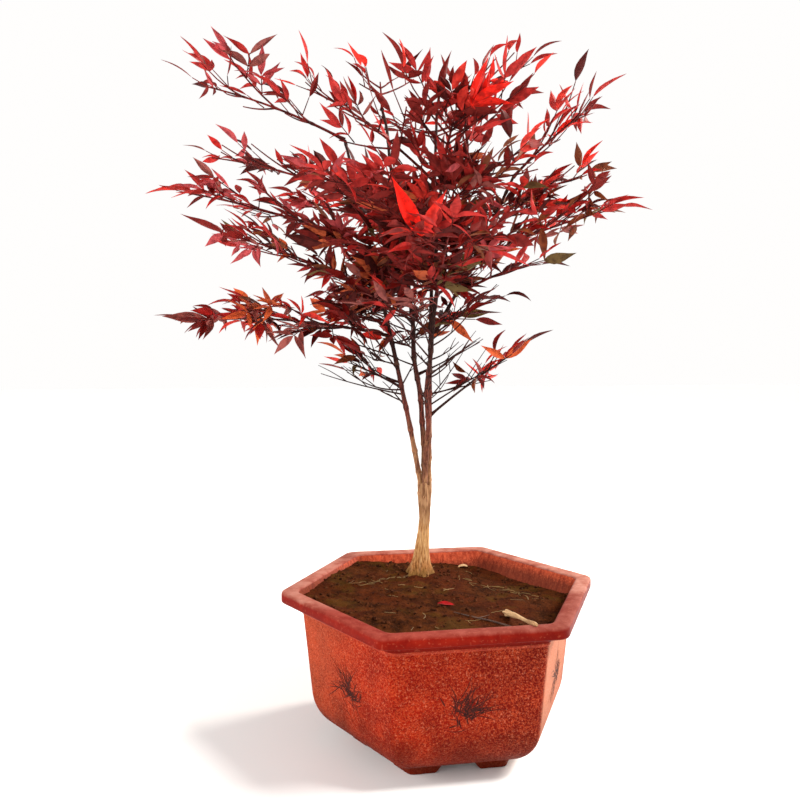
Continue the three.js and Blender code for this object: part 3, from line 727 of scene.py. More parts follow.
# Trunk: one short pale stem with fibrous bark, flared into root lobes at the soil.
# It narrows to a waist and swells again where it divides into a bundle of canes.
TRUNK_BASE = 161.3
TRUNK_HEIGHT = 111
TRUNK_LEAN = 6
TRUNK_LEAN_AZIMUTH = 351
WAIST_HEIGHT = 68
FLARE_RADIUS = 16
WAIST_RADIUS = 6
HEAD_RADIUS = 8.6
FLARE_FALL = 23
LOBES = 5
LOBE_DEPTH = 0.17
LOBE_FALL = 17
COARSE_FALL = 30
TRUNK_COLUMNS = 108
TRUNK_STEPS = 120
TRUNK_SUNK = 4
TRUNK_CAP = 1.2
PARTING_HEIGHT = 62
RAGGED_HEIGHT = 92
RAGGED_DEPTH = 2.6
CANE_RING = 5.1
BUNDLE_CORE = 4.9
CANES = {
    "cane_left": {"bearing": 171, "heading": 176, "spread": 92, "top": 690, "bow": 1.1, "radius": 3.2},
    "cane_middle": {"bearing": 81, "heading": 148, "spread": 58, "top": 735, "bow": 1.5, "radius": 3.5},
    "cane_right": {"bearing": 351, "heading": 70, "spread": 62, "top": 742, "bow": 1.7, "radius": 3.2},
    "cane_front": {"bearing": 261, "heading": 272, "spread": 88, "top": 640, "bow": 1.3, "radius": 3.2},
}


def from_trunk(azimuth, reach, height):
    return TRUNK_FOOT + heading(azimuth) * reach + np.array([0, 0, height])


def trunk_centre(height):
    lean = TRUNK_LEAN * min(1.0, max(0.0, height) / WAIST_HEIGHT)
    return from_trunk(TRUNK_LEAN_AZIMUTH, lean, TRUNK_BASE + height)


def bundle_reach(turns):
    """Outline of the four canes where they part, as distances from the middle of the bundle."""
    reach = np.full(len(turns), BUNDLE_CORE)
    for cane in CANES.values():
        off = turns - math.radians(cane["bearing"])
        inside_root = cane["radius"] ** 2 - (CANE_RING * np.sin(off)) ** 2
        hit = CANE_RING * np.cos(off) + np.sqrt(np.maximum(inside_root, 0))
        reach = np.maximum(reach, np.where((inside_root > 0) & (np.cos(off) > 0), hit + 0.3, 0))
    kernel = np.ones(5) / 5
    return np.convolve(np.concatenate([reach[-2:], reach, reach[:2]]), kernel, "valid")


def fibres(turns, height):
    """Relief of the fibrous bark, drawn out along the stem."""
    relief = []
    for turn in turns:
        around = turn + height * 0.004
        fine = round_noise(around, 9, height / 26)
        broad = round_noise(around, 3, height / 42 + 5)
        flakes = round_noise(around, 5, height / 7 + 11)
        relief.append(0.5 * fine + 0.5 * broad + 0.22 * flakes)
    return np.array(relief)


def trunk_rings():
    turns = np.linspace(0, 2 * math.pi, TRUNK_COLUMNS, endpoint=False)
    bundle = bundle_reach(turns)
    rings = []
    for step in range(TRUNK_STEPS + 1):
        height = -TRUNK_SUNK + (TRUNK_HEIGHT + TRUNK_SUNK + TRUNK_CAP) * step / TRUNK_STEPS
        above_soil = max(0.0, height)
        above_waist = max(0.0, (height - WAIST_HEIGHT) / (TRUNK_HEIGHT - WAIST_HEIGHT))
        lobe = LOBE_DEPTH * math.exp(-above_soil / LOBE_FALL) * np.cos(turns * LOBES)
        flare = (FLARE_RADIUS - WAIST_RADIUS) * math.exp(-above_soil / FLARE_FALL)
        head = (HEAD_RADIUS - WAIST_RADIUS) * above_waist
        stem = (WAIST_RADIUS + flare + head) * (1 + lobe)
        parted = smooth((height - PARTING_HEIGHT) / (TRUNK_HEIGHT - PARTING_HEIGHT)) ** 1.6
        coarse = 1.0 + 0.8 * math.exp(-above_soil / COARSE_FALL)
        reach = stem + (bundle - stem) * parted + fibres(turns, height) * coarse
        jags = np.sin(3 * turns + 0.8) + np.sin(7 * turns) + 0.8 * np.sin(11 * turns)
        ragged = RAGGED_DEPTH * smooth((height - RAGGED_HEIGHT) / 20) * jags
        ring = np.stack([reach * np.cos(turns), reach * np.sin(turns), ragged], 1)
        rings.append(trunk_centre(height) + ring)
    cap = trunk_centre(TRUNK_HEIGHT + TRUNK_CAP)
    for inset, rise in ((0.82, 0.6), (0.5, 0.9)):
        rings.append(rings[TRUNK_STEPS] * inset + cap * (1 - inset) + [0, 0, rise])
    return rings


def fibrous_bark():
    material, place = new_finish("fibrous_bark")
    height = place.axis("Z")
    streaks = place.stretched(1, 1, 0.1).noise(620, 3.0, 0.6)
    plates = place.stretched(1, 1, 0.3).noise(190, 3.0)
    colour = streaks.span(0.36, 0.62).mix(paint(152, 101, 56), paint(210, 163, 108))
    colour = (plates.span(0.5, 0.66) * 0.6).mix(colour, paint(224, 188, 138))
    colour = (1 - streaks.span(0.26, 0.4)).mix(colour, paint(112, 62, 30))
    weathered = (height + (plates - 0.5) * 0.05).span(0.205, 0.248)
    grey = plates.span(0.38, 0.62).mix(paint(96, 57, 40), paint(164, 122, 88))
    colour = (weathered * 0.85).mix(colour, grey)
    foot = 1 - (height + (plates - 0.5) * 0.03).span(0.164, 0.204)
    rusty = streaks.span(0.36, 0.62).mix(paint(98, 50, 18), paint(164, 100, 48))
    colour = (foot * 0.75).mix(colour, rusty)
    # Stained olive-brown by the soil at the trunk's foot.
    darker_low = 1 - (height + (plates - 0.5) * 0.02).span(0.160, 0.174)
    colour = (darker_low * 0.7).mix(colour, paint(96, 72, 30))
    bump = (streaks + plates * 0.6).relief(0.8, 0.0011)
    return dress(material, Base_Color=colour, Roughness=0.82, Specular_IOR_Level=0.12, Normal=bump)


piece("trunk_bark", *skin(trunk_rings()), [fibrous_bark()], "bark", ["trunk"], sharp_angle=70)

# Canes and bough: four slim upright canes stand out of the trunk's head, and one bough leaves the
# right-hand cane half way up. Their thin bark is ringed by old leaf scars and furrowed lengthwise,
# grey-brown below and dark red-brown inside the crown, where it is darkened further as painted shade.
LIMB_TIP_RADIUS = 1.7
CANE_COLUMNS = 14
SCAR_SPACING = 27
CANE_STEP = 2.6
CANE_IN_TRUNK = 16
CANE_FOOT = TRUNK_BASE + TRUNK_HEIGHT + 0.3
BOUGH = {"limb": "cane_right", "at": 450, "azimuth": 350, "reach": 112, "tip": 646, "arch": -10}
BOUGH_STEPS = 83
BOUGH_SHARES = (0, 0.06, 1)
BOUGH_RADII = (3.3, 2.4, LIMB_TIP_RADIUS)


def cane_point(cane, height):
    """A point on a cane's axis, which sways a little on its way up."""
    foot = trunk_centre(TRUNK_HEIGHT) + heading(cane["bearing"]) * CANE_RING
    share = max(0.0, (height - CANE_FOOT) / (cane["top"] - CANE_FOOT))
    point = foot + heading(cane["heading"]) * cane["spread"] * share ** cane["bow"]
    sway = min(1.0, 5 * share) * heading(cane["bearing"] + 90)
    point = point + sway * (1.7 * math.sin(height / 29 + cane["bearing"]) + 0.9 * math.sin(height / 13))
    point[2] = height
    return point


limb_paths = {}
limb_radii = {}
for name, cane in CANES.items():
    levels = np.arange(CANE_FOOT - CANE_IN_TRUNK, cane["top"] + 0.01, CANE_STEP)
    limb_paths[name] = np.array([cane_point(cane, level) for level in levels])
    limb_radii[name] = np.interp(levels, (CANE_FOOT, cane["top"]), (cane["radius"], LIMB_TIP_RADIUS))


def along_path(path, measures, wanted):
    """The points of a path at wanted values of a measure that grows along it."""
    return np.stack([np.interp(wanted, measures, path[:, axis]) for axis in range(3)], -1)


def limb_at(limb, height):
    """The point of a limb's axis at a height, or its tip."""
    path = limb_paths[limb]
    return along_path(path, path[:, 2], height)


bough_start = limb_at(BOUGH["limb"], BOUGH["at"])
bough_end = from_trunk(BOUGH["azimuth"], BOUGH["reach"], BOUGH["tip"])
bough_middle = (bough_start + bough_end) / 2 + np.array([0, 0, BOUGH["arch"]])
limb_paths["bough_right"] = bezier(bough_start, bough_middle, bough_end, BOUGH_STEPS)
limb_radii["bough_right"] = np.interp(np.linspace(0, 1, BOUGH_STEPS + 1), BOUGH_SHARES, BOUGH_RADII)


def run_lengths(path):
    """How far along a path each of its points is."""
    return np.concatenate([[0], np.cumsum(np.linalg.norm(np.diff(path, axis=0), axis=1))])


def limb_part(name):
    """A cane or bough, swollen to a sharp ring at each old leaf scar and a soft one above it."""
    path = limb_paths[name]
    lengths = run_lengths(path)
    phase = (lengths / SCAR_SPACING + len(name) * 0.37) % 1
    scar = np.exp(-(((phase - 0.5) / 0.07) ** 2))
    swelling = np.exp(-(((phase - 0.66) / 0.2) ** 2))
    radii = limb_radii[name] * (0.97 + 0.26 * scar + 0.1 * swelling)

    def furrows(index, turns):
        level = lengths[index]
        long = np.array([round_noise(turn, 2.6, level / 21) for turn in turns])
        short = np.array([round_noise(turn, 5, level / 5) for turn in turns])
        return 0.11 * long + 0.05 * short

    return tube(path, radii, CANE_COLUMNS, furrows)


def ringed_bark():
    material, place = new_finish("ringed_bark")
    furrow = place.stretched(1, 1, 0.14).noise(700, 3.0, 0.6)
    ridge = furrow.span(0.35, 0.65)
    mottles = place.noise(120, 3.0)
    patches = place.stretched(1, 1, 0.3).noise(75, 2.0)
    level = place.axis("Z") + (mottles - 0.5) * 0.09
    low = ridge.mix(paint(110, 68, 44), paint(184, 138, 96))
    stained = ridge.mix(paint(62, 26, 20), paint(118, 66, 50))
    low = (patches.span(0.46, 0.58) * 0.75).mix(low, stained)
    mid = ridge.mix(paint(52, 17, 14), paint(116, 56, 44))
    # Painted shade: the bark inside the crown is painted near black.
    high = ridge.mix(paint(26, 10, 8), paint(54, 23, 18))
    colour = level.span(0.27, 0.36).mix(low, mid)
    peeled = (1 - patches.span(0.36, 0.47)) * (1 - level.span(0.34, 0.4))
    colour = (peeled * 0.4).mix(colour, paint(178, 128, 88))
    colour = level.span(0.35, 0.45).mix(colour, high)
    colour = (mottles.span(0.58, 0.7) * 0.25).mix(colour, paint(128, 90, 70))
    bump = (furrow + mottles * 0.5).relief(0.6, 0.0006)
    return dress(material, Base_Color=colour, Roughness=0.72, Specular_IOR_Level=0.15, Normal=bump)


limbs = joined([limb_part(name) for name in limb_paths])
piece("cane_bark", *limbs, [ringed_bark()], "cane", list(limb_paths), sharp_angle=75)

# Leaf stalks: each compound leaf springs from its cane on a stalk with a swollen sheath and parts,
# at swollen joints, into opposite side stalks and these into short twigs that carry the leaflets.
# They are wiry and dark red, and grow by the seeded rule that shapes the solid masses.
STALK_ARCH = 0.2
STALK_STEPS = 40
STALK_THICKNESS = 1.7
STALK_COLUMNS = 7
TWIG_COLUMNS = 5
SHEATH_SHARES = (0, 0.03, 0.1, 1)
SHEATH_RADII = (1.7, 1.4, 1, 0.5)
SPACE_STEPS = 12
UPPER_LEAN = 0.4
SIDE_STALK_ANGLE = (52, 16)
SIDE_STALK_LIFT = (6, 24)
SIDE_STALK_LENGTHS = (1, 0.3)
STALK_NODES = [
    {"along": 0.26, "share": 0.9, "pairs": [0.36, 0.74]},
    {"along": 0.52, "share": 1.0, "pairs": [0.36, 0.74]},
    {"along": 0.76, "share": 0.6, "pairs": [0.55]},
]
FINER_NODES = [
    {"along": 0.13, "share": 0.7, "pairs": [0.6]},
    {"along": 0.39, "share": 0.85, "pairs": [0.6]},
    {"along": 0.64, "share": 0.7, "pairs": [0.6]},
]
FINER_OVERLAP = 14
FINER_FROM_FULLNESS = 0.45
STALK_FITS = [1, 0.75, 0.5, 0.3]
STALK_PROBES = [0.15, 0.3, 0.45, 0.6, 0.75, 0.9, 1]
SIDE_STALK_POINTS = 7
SIDE_STALK_RADII = (1.25, 0.7)
SIDE_STALK_SAG = 0.03
TIP_PAIR_ALONG = 0.93
TIP_FALL = 0.3
END_LEAFLET = 1.25
SPRAY_LENGTH = 54
SPRAY_LENGTHS = (1, 0.3)
SPRAY_ANGLE = 48
SPRAY_ROLL = (0, 70)
SPRAY_OVERHANG = 0.4
SPRAY_TILTS = [0, 24, -24]
SPRAY_PROBES = [0.35, 0.7, 1.0]
SPRAY_SPACING = 13
SPACE_MARGIN = 0.8
LEAVES_ON = {
    "cane_left": [
        ("left_low", 455, 178, 308, 472, 110, -0.1, 3, 1),
        ("left_front", 500, 200, 275, 566, 100, 0, 3, 1),
        ("left_mid", 560, 168, 328, 636, 110, 0.1, 3, 0.6),
        ("left_back", 620, 150, 345, 704, 105, 0.2, 3, 0.5),
        ("left_top", 690, 177, 303, 752, 105, 0.45, 3, 0.25),
        ("low_left", 392, 158, 136, 432, 60, 0.1, 2, 0.25),
    ],
    "cane_middle": [
        ("top_left", 700, 142, 215, 800, 85, 0.5, 3, -0.3),
        ("top", 735, 110, 110, 816, 85, 0.3, 2, -0.1),
        ("back_left", 590, 117, 300, 650, 110, 0.2, 3, 0.7),
        ("back_low", 470, 95, 225, 500, 95, 0, 3, 0.3),
    ],
    "cane_right": [
        ("top_right", 742, 4, 185, 806, 95, 0.5, 3, -0.8),
        ("back_top", 700, 78, 245, 764, 100, 0.3, 3, 0.2),
        ("back_right", 585, 45, 290, 655, 110, 0.2, 3, 0.3),
        ("right_low", 465, 24, 165, 512, 75, 0.1, 2, -0.6),
        ("low_right", 357, 354, 152, 455, 55, 0.1, 2, 0.25),
    ],
    "bough_right": [
        ("right_top", 646, 344, 236, 742, 90, 0.45, 3, 0.1),
        ("right_mid", 600, 9, 265, 674, 95, 0.2, 3, 0.2),
        ("right", 545, 346, 270, 612, 95, 0.1, 3, 0.6),
        ("right_front", 505, 312, 195, 535, 80, 0, 3, -0.3),
    ],
    "cane_front": [
        ("front_low", 455, 240, 150, 490, 80, 0, 2, 0.3),
        ("inner_left", 528, 206, 168, 552, 90, 0.1, 3, 0.3),
        ("front", 500, 266, 270, 556, 100, 0.1, 3, 0.7),
        ("front_left", 555, 234, 260, 605, 100, 0.1, 3, 0.6),
        ("front_right", 590, 292, 245, 640, 95, 0.2, 3, 0.3),
        ("front_top", 640, 276, 175, 716, 95, 0.4, 3, 0.6),
        ("front_crown", 615, 215, 165, 712, 90, 0.3, 3, 0.35),
    ],
}
SHOOTS_ON = {
    "cane_left": (446, 600),
    "cane_middle": (452, 620),
    "cane_right": (530, 665),
    "bough_right": (560, 600),
    "cane_front": (505, 606),
}
LOW_SHOOT_LEVEL = 470
LOW_SHOOT_FULLNESS = -0.2
LOW_SHOOTS = [
    ("cane_right", 474, 348, 34, -4),
    ("cane_left", 420, 176, 30, 8),
    ("cane_middle", 440, 120, 24, 12),
]
SHOOT_SPACING = 27
SHOOT_LENGTH = (30, 62)
SHOOT_RISE = (4, 34)
SHOOT_TURN = 137.5
SHOOT_WIDTH = 46
SHOOT_ERECT = 0.25
SHOOT_THICKNESS = 1.1
SHOOT_OVERLAP = 60
LEAF_SEEDS = 1000
TIP_SEED = 500
FINER_SEED = 600
SHOOT_SEEDS = 50000
LOW_SHOOT_SEEDS = 60000
UP = np.array([0.0, 0.0, 1.0])


def unit(vector):
    return vector / np.linalg.norm(vector)


def turned(vector, axis, angle):
    """A vector turned about an axis by an angle in degrees."""
    turn = math.radians(angle)
    along = axis * (axis @ vector)
    return along + (vector - along) * math.cos(turn) + np.cross(axis, vector) * math.sin(turn)


def seeded(seed):
    """The drawing of numbers from 0 to 1 that shapes the solid masses too."""
    whole = 0xFFFFFFFF
    state = [seed & whole]

    def draw_share():
        state[0] = (state[0] + 0x6D2B79F5) & whole
        mixed = ((state[0] ^ (state[0] >> 15)) * (1 | state[0])) & whole
        mixed = ((mixed + (mixed ^ (mixed >> 7)) * (61 | mixed)) & whole) ^ mixed
        return (mixed ^ (mixed >> 14)) / (whole + 1)

    return draw_share


def varied(middle, variation, draw_share):
    """A value drawn from half the variation below the middle to half of it above."""
    return middle + variation * (draw_share() - 0.5)


class Stalk:
    """The middle stalk of one compound leaf, from its limb to the root of the spray at its tip."""

    def __init__(self, start, end, azimuth, width, erect, nodes, full_at_tip):
        self.width, self.erect, self.nodes, self.full_at_tip = width, erect, nodes, full_at_tip
        middle = (start + end) / 2 + UP * width * STALK_ARCH
        self.space = bezier(start, middle, end, SPACE_STEPS)
        fine = bezier(start, middle, end, 2 * STALK_STEPS)
        lengths = run_lengths(fine)
        runs = np.linspace(0, lengths[-1] - SPRAY_LENGTH, STALK_STEPS + 1)
        self.path = along_path(fine, lengths, runs)
        self.upper = UP - heading(azimuth) * UPPER_LEAN
        self.sideways = heading(azimuth + 90)
        self.placed = []

    def claim(self, owner, margin):
        """Keeps its sprays to the space of one leaf, by a margin."""
        self.owner, self.margin = owner, margin

    def at(self, share):
        """The point at a share of the stalk, and which way the stalk runs there."""
        step = share * STALK_STEPS
        spot = along_path(self.path, np.arange(STALK_STEPS + 1), step)
        low = min(STALK_STEPS - 1, int(step))
        return spot, unit(self.path[low + 1] - self.path[low])

    def fullness(self, spot):
        """The chance that a spray still has all its leaflets: thinned leaves are barest at the tip."""
        share = np.linalg.norm(spot - self.path[0]) / np.linalg.norm(self.path[-1] - self.path[0])
        return 1 - (1 - self.full_at_tip) * smooth(share * 1.7)


stalks, masses = [], []
for limb, borne in LEAVES_ON.items():
    for name, at, azimuth, reach, tip, width, erect, nodes, full in borne:
        masses.append(f"foliage_{name}")
        end = from_trunk(azimuth, reach, tip)
        stalks.append(Stalk(limb_at(limb, at), end, azimuth, width, erect, STALK_NODES[-nodes:], full))
space_from = np.concatenate([stalk.space[:-1] for stalk in stalks])
space_run = np.concatenate([np.diff(stalk.space, axis=0) for stalk in stalks])
space_owner = np.repeat(np.arange(len(stalks)), SPACE_STEPS)


def in_own_space(points, stalk):
    """True if all these points lie in the space that their stalk has claimed."""
    offset = np.asarray(points)[:, None] - space_from[None]
    share = np.clip((offset * space_run).sum(2) / (space_run**2).sum(1), 0, 1)
    distance = np.linalg.norm(offset - share[..., None] * space_run, axis=2)
    own = distance[:, space_owner == stalk.owner].min(1)
    others = distance[:, space_owner != stalk.owner].min(1)
    return bool((others >= own + stalk.margin).all())


stalk_parts = []
sprays = []


def add_spray(stalk, root, direction, draw_share):
    """Finds room for a short twig of leaflets, tilted up or down where it is crowded."""
    raised = unit(direction + UP * stalk.erect * (0.5 + draw_share()))
    length = SPRAY_LENGTH * varied(*SPRAY_LENGTHS, draw_share)
    roll = varied(*SPRAY_ROLL, draw_share)
    hinge = unit(np.cross(raised, stalk.upper))
    for tilt in SPRAY_TILTS:
        axis = turned(raised, hinge, tilt)
        reach = root + np.outer(SPRAY_PROBES, axis * length)
        crowded = any(np.linalg.norm(reach[1] - other) < SPRAY_SPACING for other in stalk.placed)
        if not crowded and in_own_space(reach, stalk):
            normal = turned(unit(stalk.upper - axis * (stalk.upper @ axis)), axis, roll)
            stalk.placed.append(reach[1])
            spray = {"root": root, "axis": axis, "normal": normal, "length": length}
            sprays.append({**spray, "full": stalk.fullness(root)})
            return


def add_side_stalk(stalk, node, side, draw_share):
    """Grows one side stalk as long as it has room, with its pairs of sprays and one at its end."""
    root, forward = stalk.at(node["along"])
    angle = math.radians(varied(*SIDE_STALK_ANGLE, draw_share))
    lift = math.tan(math.radians(varied(*SIDE_STALK_LIFT, draw_share)))
    direction = unit(forward * math.cos(angle) + stalk.sideways * side * math.sin(angle) + UP * lift)
    spread = stalk.width * node["share"] * varied(*SIDE_STALK_LENGTHS, draw_share)
    full = spread - SPRAY_LENGTH * SPRAY_OVERHANG
    for fit in STALK_FITS:
        probes = np.outer(STALK_PROBES, direction * full * fit)
        if in_own_space(root + probes, stalk):
            break
    else:
        return
    end = root + direction * full * fit
    shares = np.linspace(0, 1, SIDE_STALK_POINTS)
    sag = np.outer(np.sin(math.pi * shares), UP) * SIDE_STALK_SAG * full * fit
    path = root + np.outer(shares, end - root) - sag
    radii = np.linspace(*SIDE_STALK_RADII, SIDE_STALK_POINTS)
    stalk_parts.append(tube(path, radii, TWIG_COLUMNS))
    turn_axis = unit(np.cross(direction, stalk.sideways))
    for pair in node["pairs"]:
        for turn in (-1, 1):
            out = turned(direction, turn_axis, turn * SPRAY_ANGLE)
            add_spray(stalk, root + (end - root) * pair, out, draw_share)
    add_spray(stalk, end, direction, draw_share)


def add_tip(stalk, draw_share, end_leaflet):
    """The pair of sprays behind the tip of a stalk and the one at it."""
    root, forward = stalk.at(1)
    for side in (-1, 1):
        out = unit(forward + stalk.sideways * side)
        add_spray(stalk, stalk.at(TIP_PAIR_ALONG)[0], out, draw_share)
    forward[2] = max(forward[2], forward[2] * TIP_FALL)
    before = len(sprays)
    add_spray(stalk, root, forward, draw_share)
    for spray in sprays[before:]:
        spray["end_leaflet"] = end_leaflet


def add_middle_stalk(stalk, thick):
    """The stalk itself, thickest in its sheath and swollen at each joint."""
    shares = np.linspace(0, 1, STALK_STEPS + 1)
    radii = np.interp(shares, SHEATH_SHARES, [radius * thick for radius in SHEATH_RADII])
    for node in stalk.nodes:
        radii = radii * (1 + 0.45 * np.exp(-(((shares - node["along"]) / 0.018) ** 2)))
    stalk_parts.append(tube(stalk.path, radii, STALK_COLUMNS))


def add_side_stalks(stalk, nodes, seed):
    """The opposite side stalks at each joint, every one with its own draws."""
    for number, node in enumerate(nodes):
        for side in (-1, 1):
            add_side_stalk(stalk, node, side, seeded(seed + 10 * number + side))


for owner, stalk in enumerate(stalks):
    seed = LEAF_SEEDS * owner
    stalk.claim(owner, SPACE_MARGIN)
    add_middle_stalk(stalk, STALK_THICKNESS)
    add_side_stalks(stalk, stalk.nodes, seed)
    add_tip(stalk, seeded(seed + TIP_SEED), END_LEAFLET)
    if stalk.full_at_tip >= FINER_FROM_FULLNESS:
        stalk.claim(owner, -FINER_OVERLAP)
        add_side_stalks(stalk, FINER_NODES, seed + FINER_SEED)


def add_shoot(full, limb, level, azimuth, length, rise, draw_share):
    """A short leaf close to a limb, in among the larger ones."""
    start = limb_at(limb, level)
    end = start + heading(azimuth) * (length + SPRAY_LENGTH) + UP * rise
    shoot = Stalk(start, end, azimuth, SHOOT_WIDTH, SHOOT_ERECT, STALK_NODES[1:], full)
    add_middle_stalk(shoot, SHOOT_THICKNESS)
    distances = [np.linalg.norm(stalk.space - shoot.path[-1], axis=1).min() for stalk in stalks]
    shoot.claim(int(np.argmin(distances)), -SHOOT_OVERLAP)
    for node in shoot.nodes:
        for side in (-1, 1):
            add_side_stalk(shoot, node, side, draw_share)
    add_tip(shoot, draw_share, 1)


for order, (limb, (low, high)) in enumerate(SHOOTS_ON.items()):
    for number, level in enumerate(np.arange(low, high, SHOOT_SPACING)):
        draw_share = seeded(SHOOT_SEEDS + 100 * order + number)
        full = LOW_SHOOT_FULLNESS if level < LOW_SHOOT_LEVEL else 1
        length = SHOOT_LENGTH[0] + (SHOOT_LENGTH[1] - SHOOT_LENGTH[0]) * draw_share()
        rise = SHOOT_RISE[0] + (SHOOT_RISE[1] - SHOOT_RISE[0]) * draw_share()
        add_shoot(full, limb, level, SHOOT_TURN * number + 60 * order, length, rise, draw_share)
for number, shoot in enumerate(LOW_SHOOTS):
    add_shoot(LOW_SHOOT_FULLNESS, *shoot, seeded(LOW_SHOOT_SEEDS + number))

# Bare stalks: wiry remains of old leaves on the lower canes, forked twice and leafless.
# They stand out all round, sag a little under their own weight and belong to the leaf stalks' piece.
BARE_SEED = 33
BARE_LEVELS = (366, 478)
BARE_COUNT = 28
BARE_LENGTH = (42, 108)
BARE_RISE = (0.1, 0.75)
BARE_SAG = (-0.05, 0.22)
BARE_STEPS = 12
BARE_RADII = (1.15, 0.45)
FORKS_AT = (5, 8)
FORK_ANGLES = (28, 60)
FORK_RISE = (-0.1, 0.5)
FORK_LENGTHS = (0.2, 0.42)
FORK_STEPS = 5
FORK_RADII = (0.7, 0.35)
LONGEST_BARE = [
    ("cane_left", 384, 178, 118, 0.22),
    ("cane_left", 390, 200, 96, 0.3),
    ("cane_left", 398, 164, 84, 0.4),
    ("cane_right", 370, 350, 112, 0.5),
    ("cane_right", 384, 5, 90, 0.36),
]

draw = np.random.default_rng(BARE_SEED)
bare = list(LONGEST_BARE)
for number in range(BARE_COUNT):
    limb = list(CANES)[number % 4]
    facing = CANES[limb]["bearing"] + draw.normal(0, 55)
    level, length, rise = [draw.uniform(*bounds) for bounds in (BARE_LEVELS, BARE_LENGTH, BARE_RISE)]
    bare.append((limb, level, facing, length, rise))
for limb, level, facing, length, rise in bare:
    start = limb_at(limb, level)
    end = start + heading(facing) * length * 0.85 + UP * length * rise
    sag = start + (end - start) * 0.55 - UP * length * draw.uniform(*BARE_SAG)
    path = bezier(start, sag, end, BARE_STEPS)
    stalk_parts.append(tube(path, np.linspace(*BARE_RADII, BARE_STEPS + 1), TWIG_COLUMNS))
    for fork in FORKS_AT:
        turn = draw.choice([-1, 1]) * draw.uniform(*FORK_ANGLES)
        out = turned(unit(path[fork + 1] - path[fork]), UP, turn)
        tip = path[fork] + (out + UP * draw.uniform(*FORK_RISE)) * length * draw.uniform(*FORK_LENGTHS)
        bend = (path[fork] + tip) / 2 + UP * 2
        branch = bezier(path[fork], bend, tip, FORK_STEPS)
        stalk_parts.append(tube(branch, np.linspace(*FORK_RADII, FORK_STEPS + 1), TWIG_COLUMNS))

# Leaflets: thin waxy blades, pointed at both ends and folded along the midrib, up to five to a twig.
# Autumn has turned them: dark wine inside the crown, deepened there as painted shade, crimson and scarlet at
# its top and right, brighter there partly as painted light, rose at the left tips, and rust, bronze and
# olive in the lower tiers.
# A few stand out singly.
LEAFLET_SEEDS = 12000
LEAF_SHARP_ANGLE = 60
LEAFLET_LENGTH = 36
LEAFLET_SLIMNESS = 0.28
LEAFLET_THICKNESS = 0.32
TWIG_SHARE = 0.42
LEAFLET_PLACES = [(0, 1.0), (1, 0.94), (-1, 0.94), (1, 0.45), (-1, 0.45)]
LEAFLETS_MISSING = 0.17
TWIGS_MISSING = 0.4
TWIG_LENGTHS = (0.8, 1.15)
TWIG_RADII = (0.75, 0.62, 0.5)
TINTED_AT = 30
LEAFLET_SPREAD = (38, 68)
LEAFLET_PITCH = (-4, 13)
LEAFLET_ROLL = (0, 30)
LEAFLET_SIZES = (0.8, 1.1)
LEAFLET_WIDTHS = (0.85, 1.2)
LEAFLET_DROOP = (0.35, 0.35)
LEAFLET_FOLD = (0.42, 0.22)
LEAFLET_TWIST = (0, 0.4)
SIDE_LEAFLET = 0.88
ROWS = np.array([0.07, 0.17, 0.31, 0.47, 0.63, 0.79, 0.91])
ROW_WIDTHS = np.array([0.30, 0.68, 0.96, 0.97, 0.72, 0.37, 0.14])
COLUMNS = np.array([-1, -0.52, 0, 0.52, 1])
TINTS = {
    "maroon": (76, 16, 13),
    "wine": (124, 25, 20),
    "crimson": (182, 37, 32),
    "scarlet": (222, 48, 36),
    "flame": (250, 30, 16),
    "rose": (188, 68, 70),
    "plum": (142, 70, 62),
    "rust": (202, 88, 46),
    "bronze": (128, 64, 36),
    "olive": (100, 78, 40),
}
OWN_TINT_SHARE = 0.74
FULL_RED = [(26, -60, 700), (158, 61, 706)]
FULL_RED_REACH = 15
FULL_RED_SIZE = 1.4
LOST_LEAFLET = (-208, 37, 763)
LOST_REACH = 3
CROWN_MIDDLE = 600
SINGLE_FACING = 261
SINGLE_DROOP = -0.3
SINGLE_FOLD = 0.4
SINGLE_LEAFLETS = [
    ("flame", (-48, -127, 538), 27, 62, 0.1),
    ("scarlet", (-48, -127, 538), -29, 50, -0.5),
    ("olive", (44, 111, 484), -86, 46, 0.2),
    ("rust", (27, 81, 476), -135, 42, -0.3),
    ("rust", (96, 72, 427), 62, 36, 0.3),
    ("rust", (96, 72, 427), -52, 42, 0.2),
    ("plum", (-263, 92, 476), 88, 52, 0.1),
    ("rust", (-201, 64, 482), 176, 40, 0.2),
    ("bronze", (125, 28, 582), -176, 42, -0.2),
]


def leaflet_pattern():
    """Places along, across and below the blade of one leaflet, with its upper and lower faces."""
    upper = [(0.0, 0.0, 0)] + [(row, column, 0) for row in ROWS for column in COLUMNS] + [(1.0, 0.0, 0)]
    lower = [(row, column, 1) for row in ROWS for column in COLUMNS[1:-1]]
    wide, inner, tip = len(COLUMNS), len(COLUMNS) - 2, len(upper) - 1
    top, under = [[0] * wide], [[0] * wide]
    for row in range(len(ROWS)):
        top.append([1 + wide * row + column for column in range(wide)])
        hidden = [tip + 1 + inner * row + column for column in range(inner)]
        under.append([top[-1][0]] + hidden + [top[-1][-1]])
    top.append([tip] * wide)
    under.append([tip] * wide)
    faces, sides = [], []
    for grid, flip in ((top, False), (under, True)):
        for near, far in zip(grid[:-1], grid[1:]):
            for column in range(wide - 1):
                corners = [near[column], near[column + 1], far[column + 1], far[column]]
                corners = list(dict.fromkeys(corners))
                faces.append(corners[::-1] if flip else corners)
                sides.append(int(flip))
    return np.array(upper + lower), faces, sides


PATTERN, PATTERN_FACES, PATTERN_SIDES = leaflet_pattern()
PATTERN_WIDTHS = np.interp(PATTERN[:, 0], [0, *ROWS, 1], [0, *ROW_WIDTHS, 0])


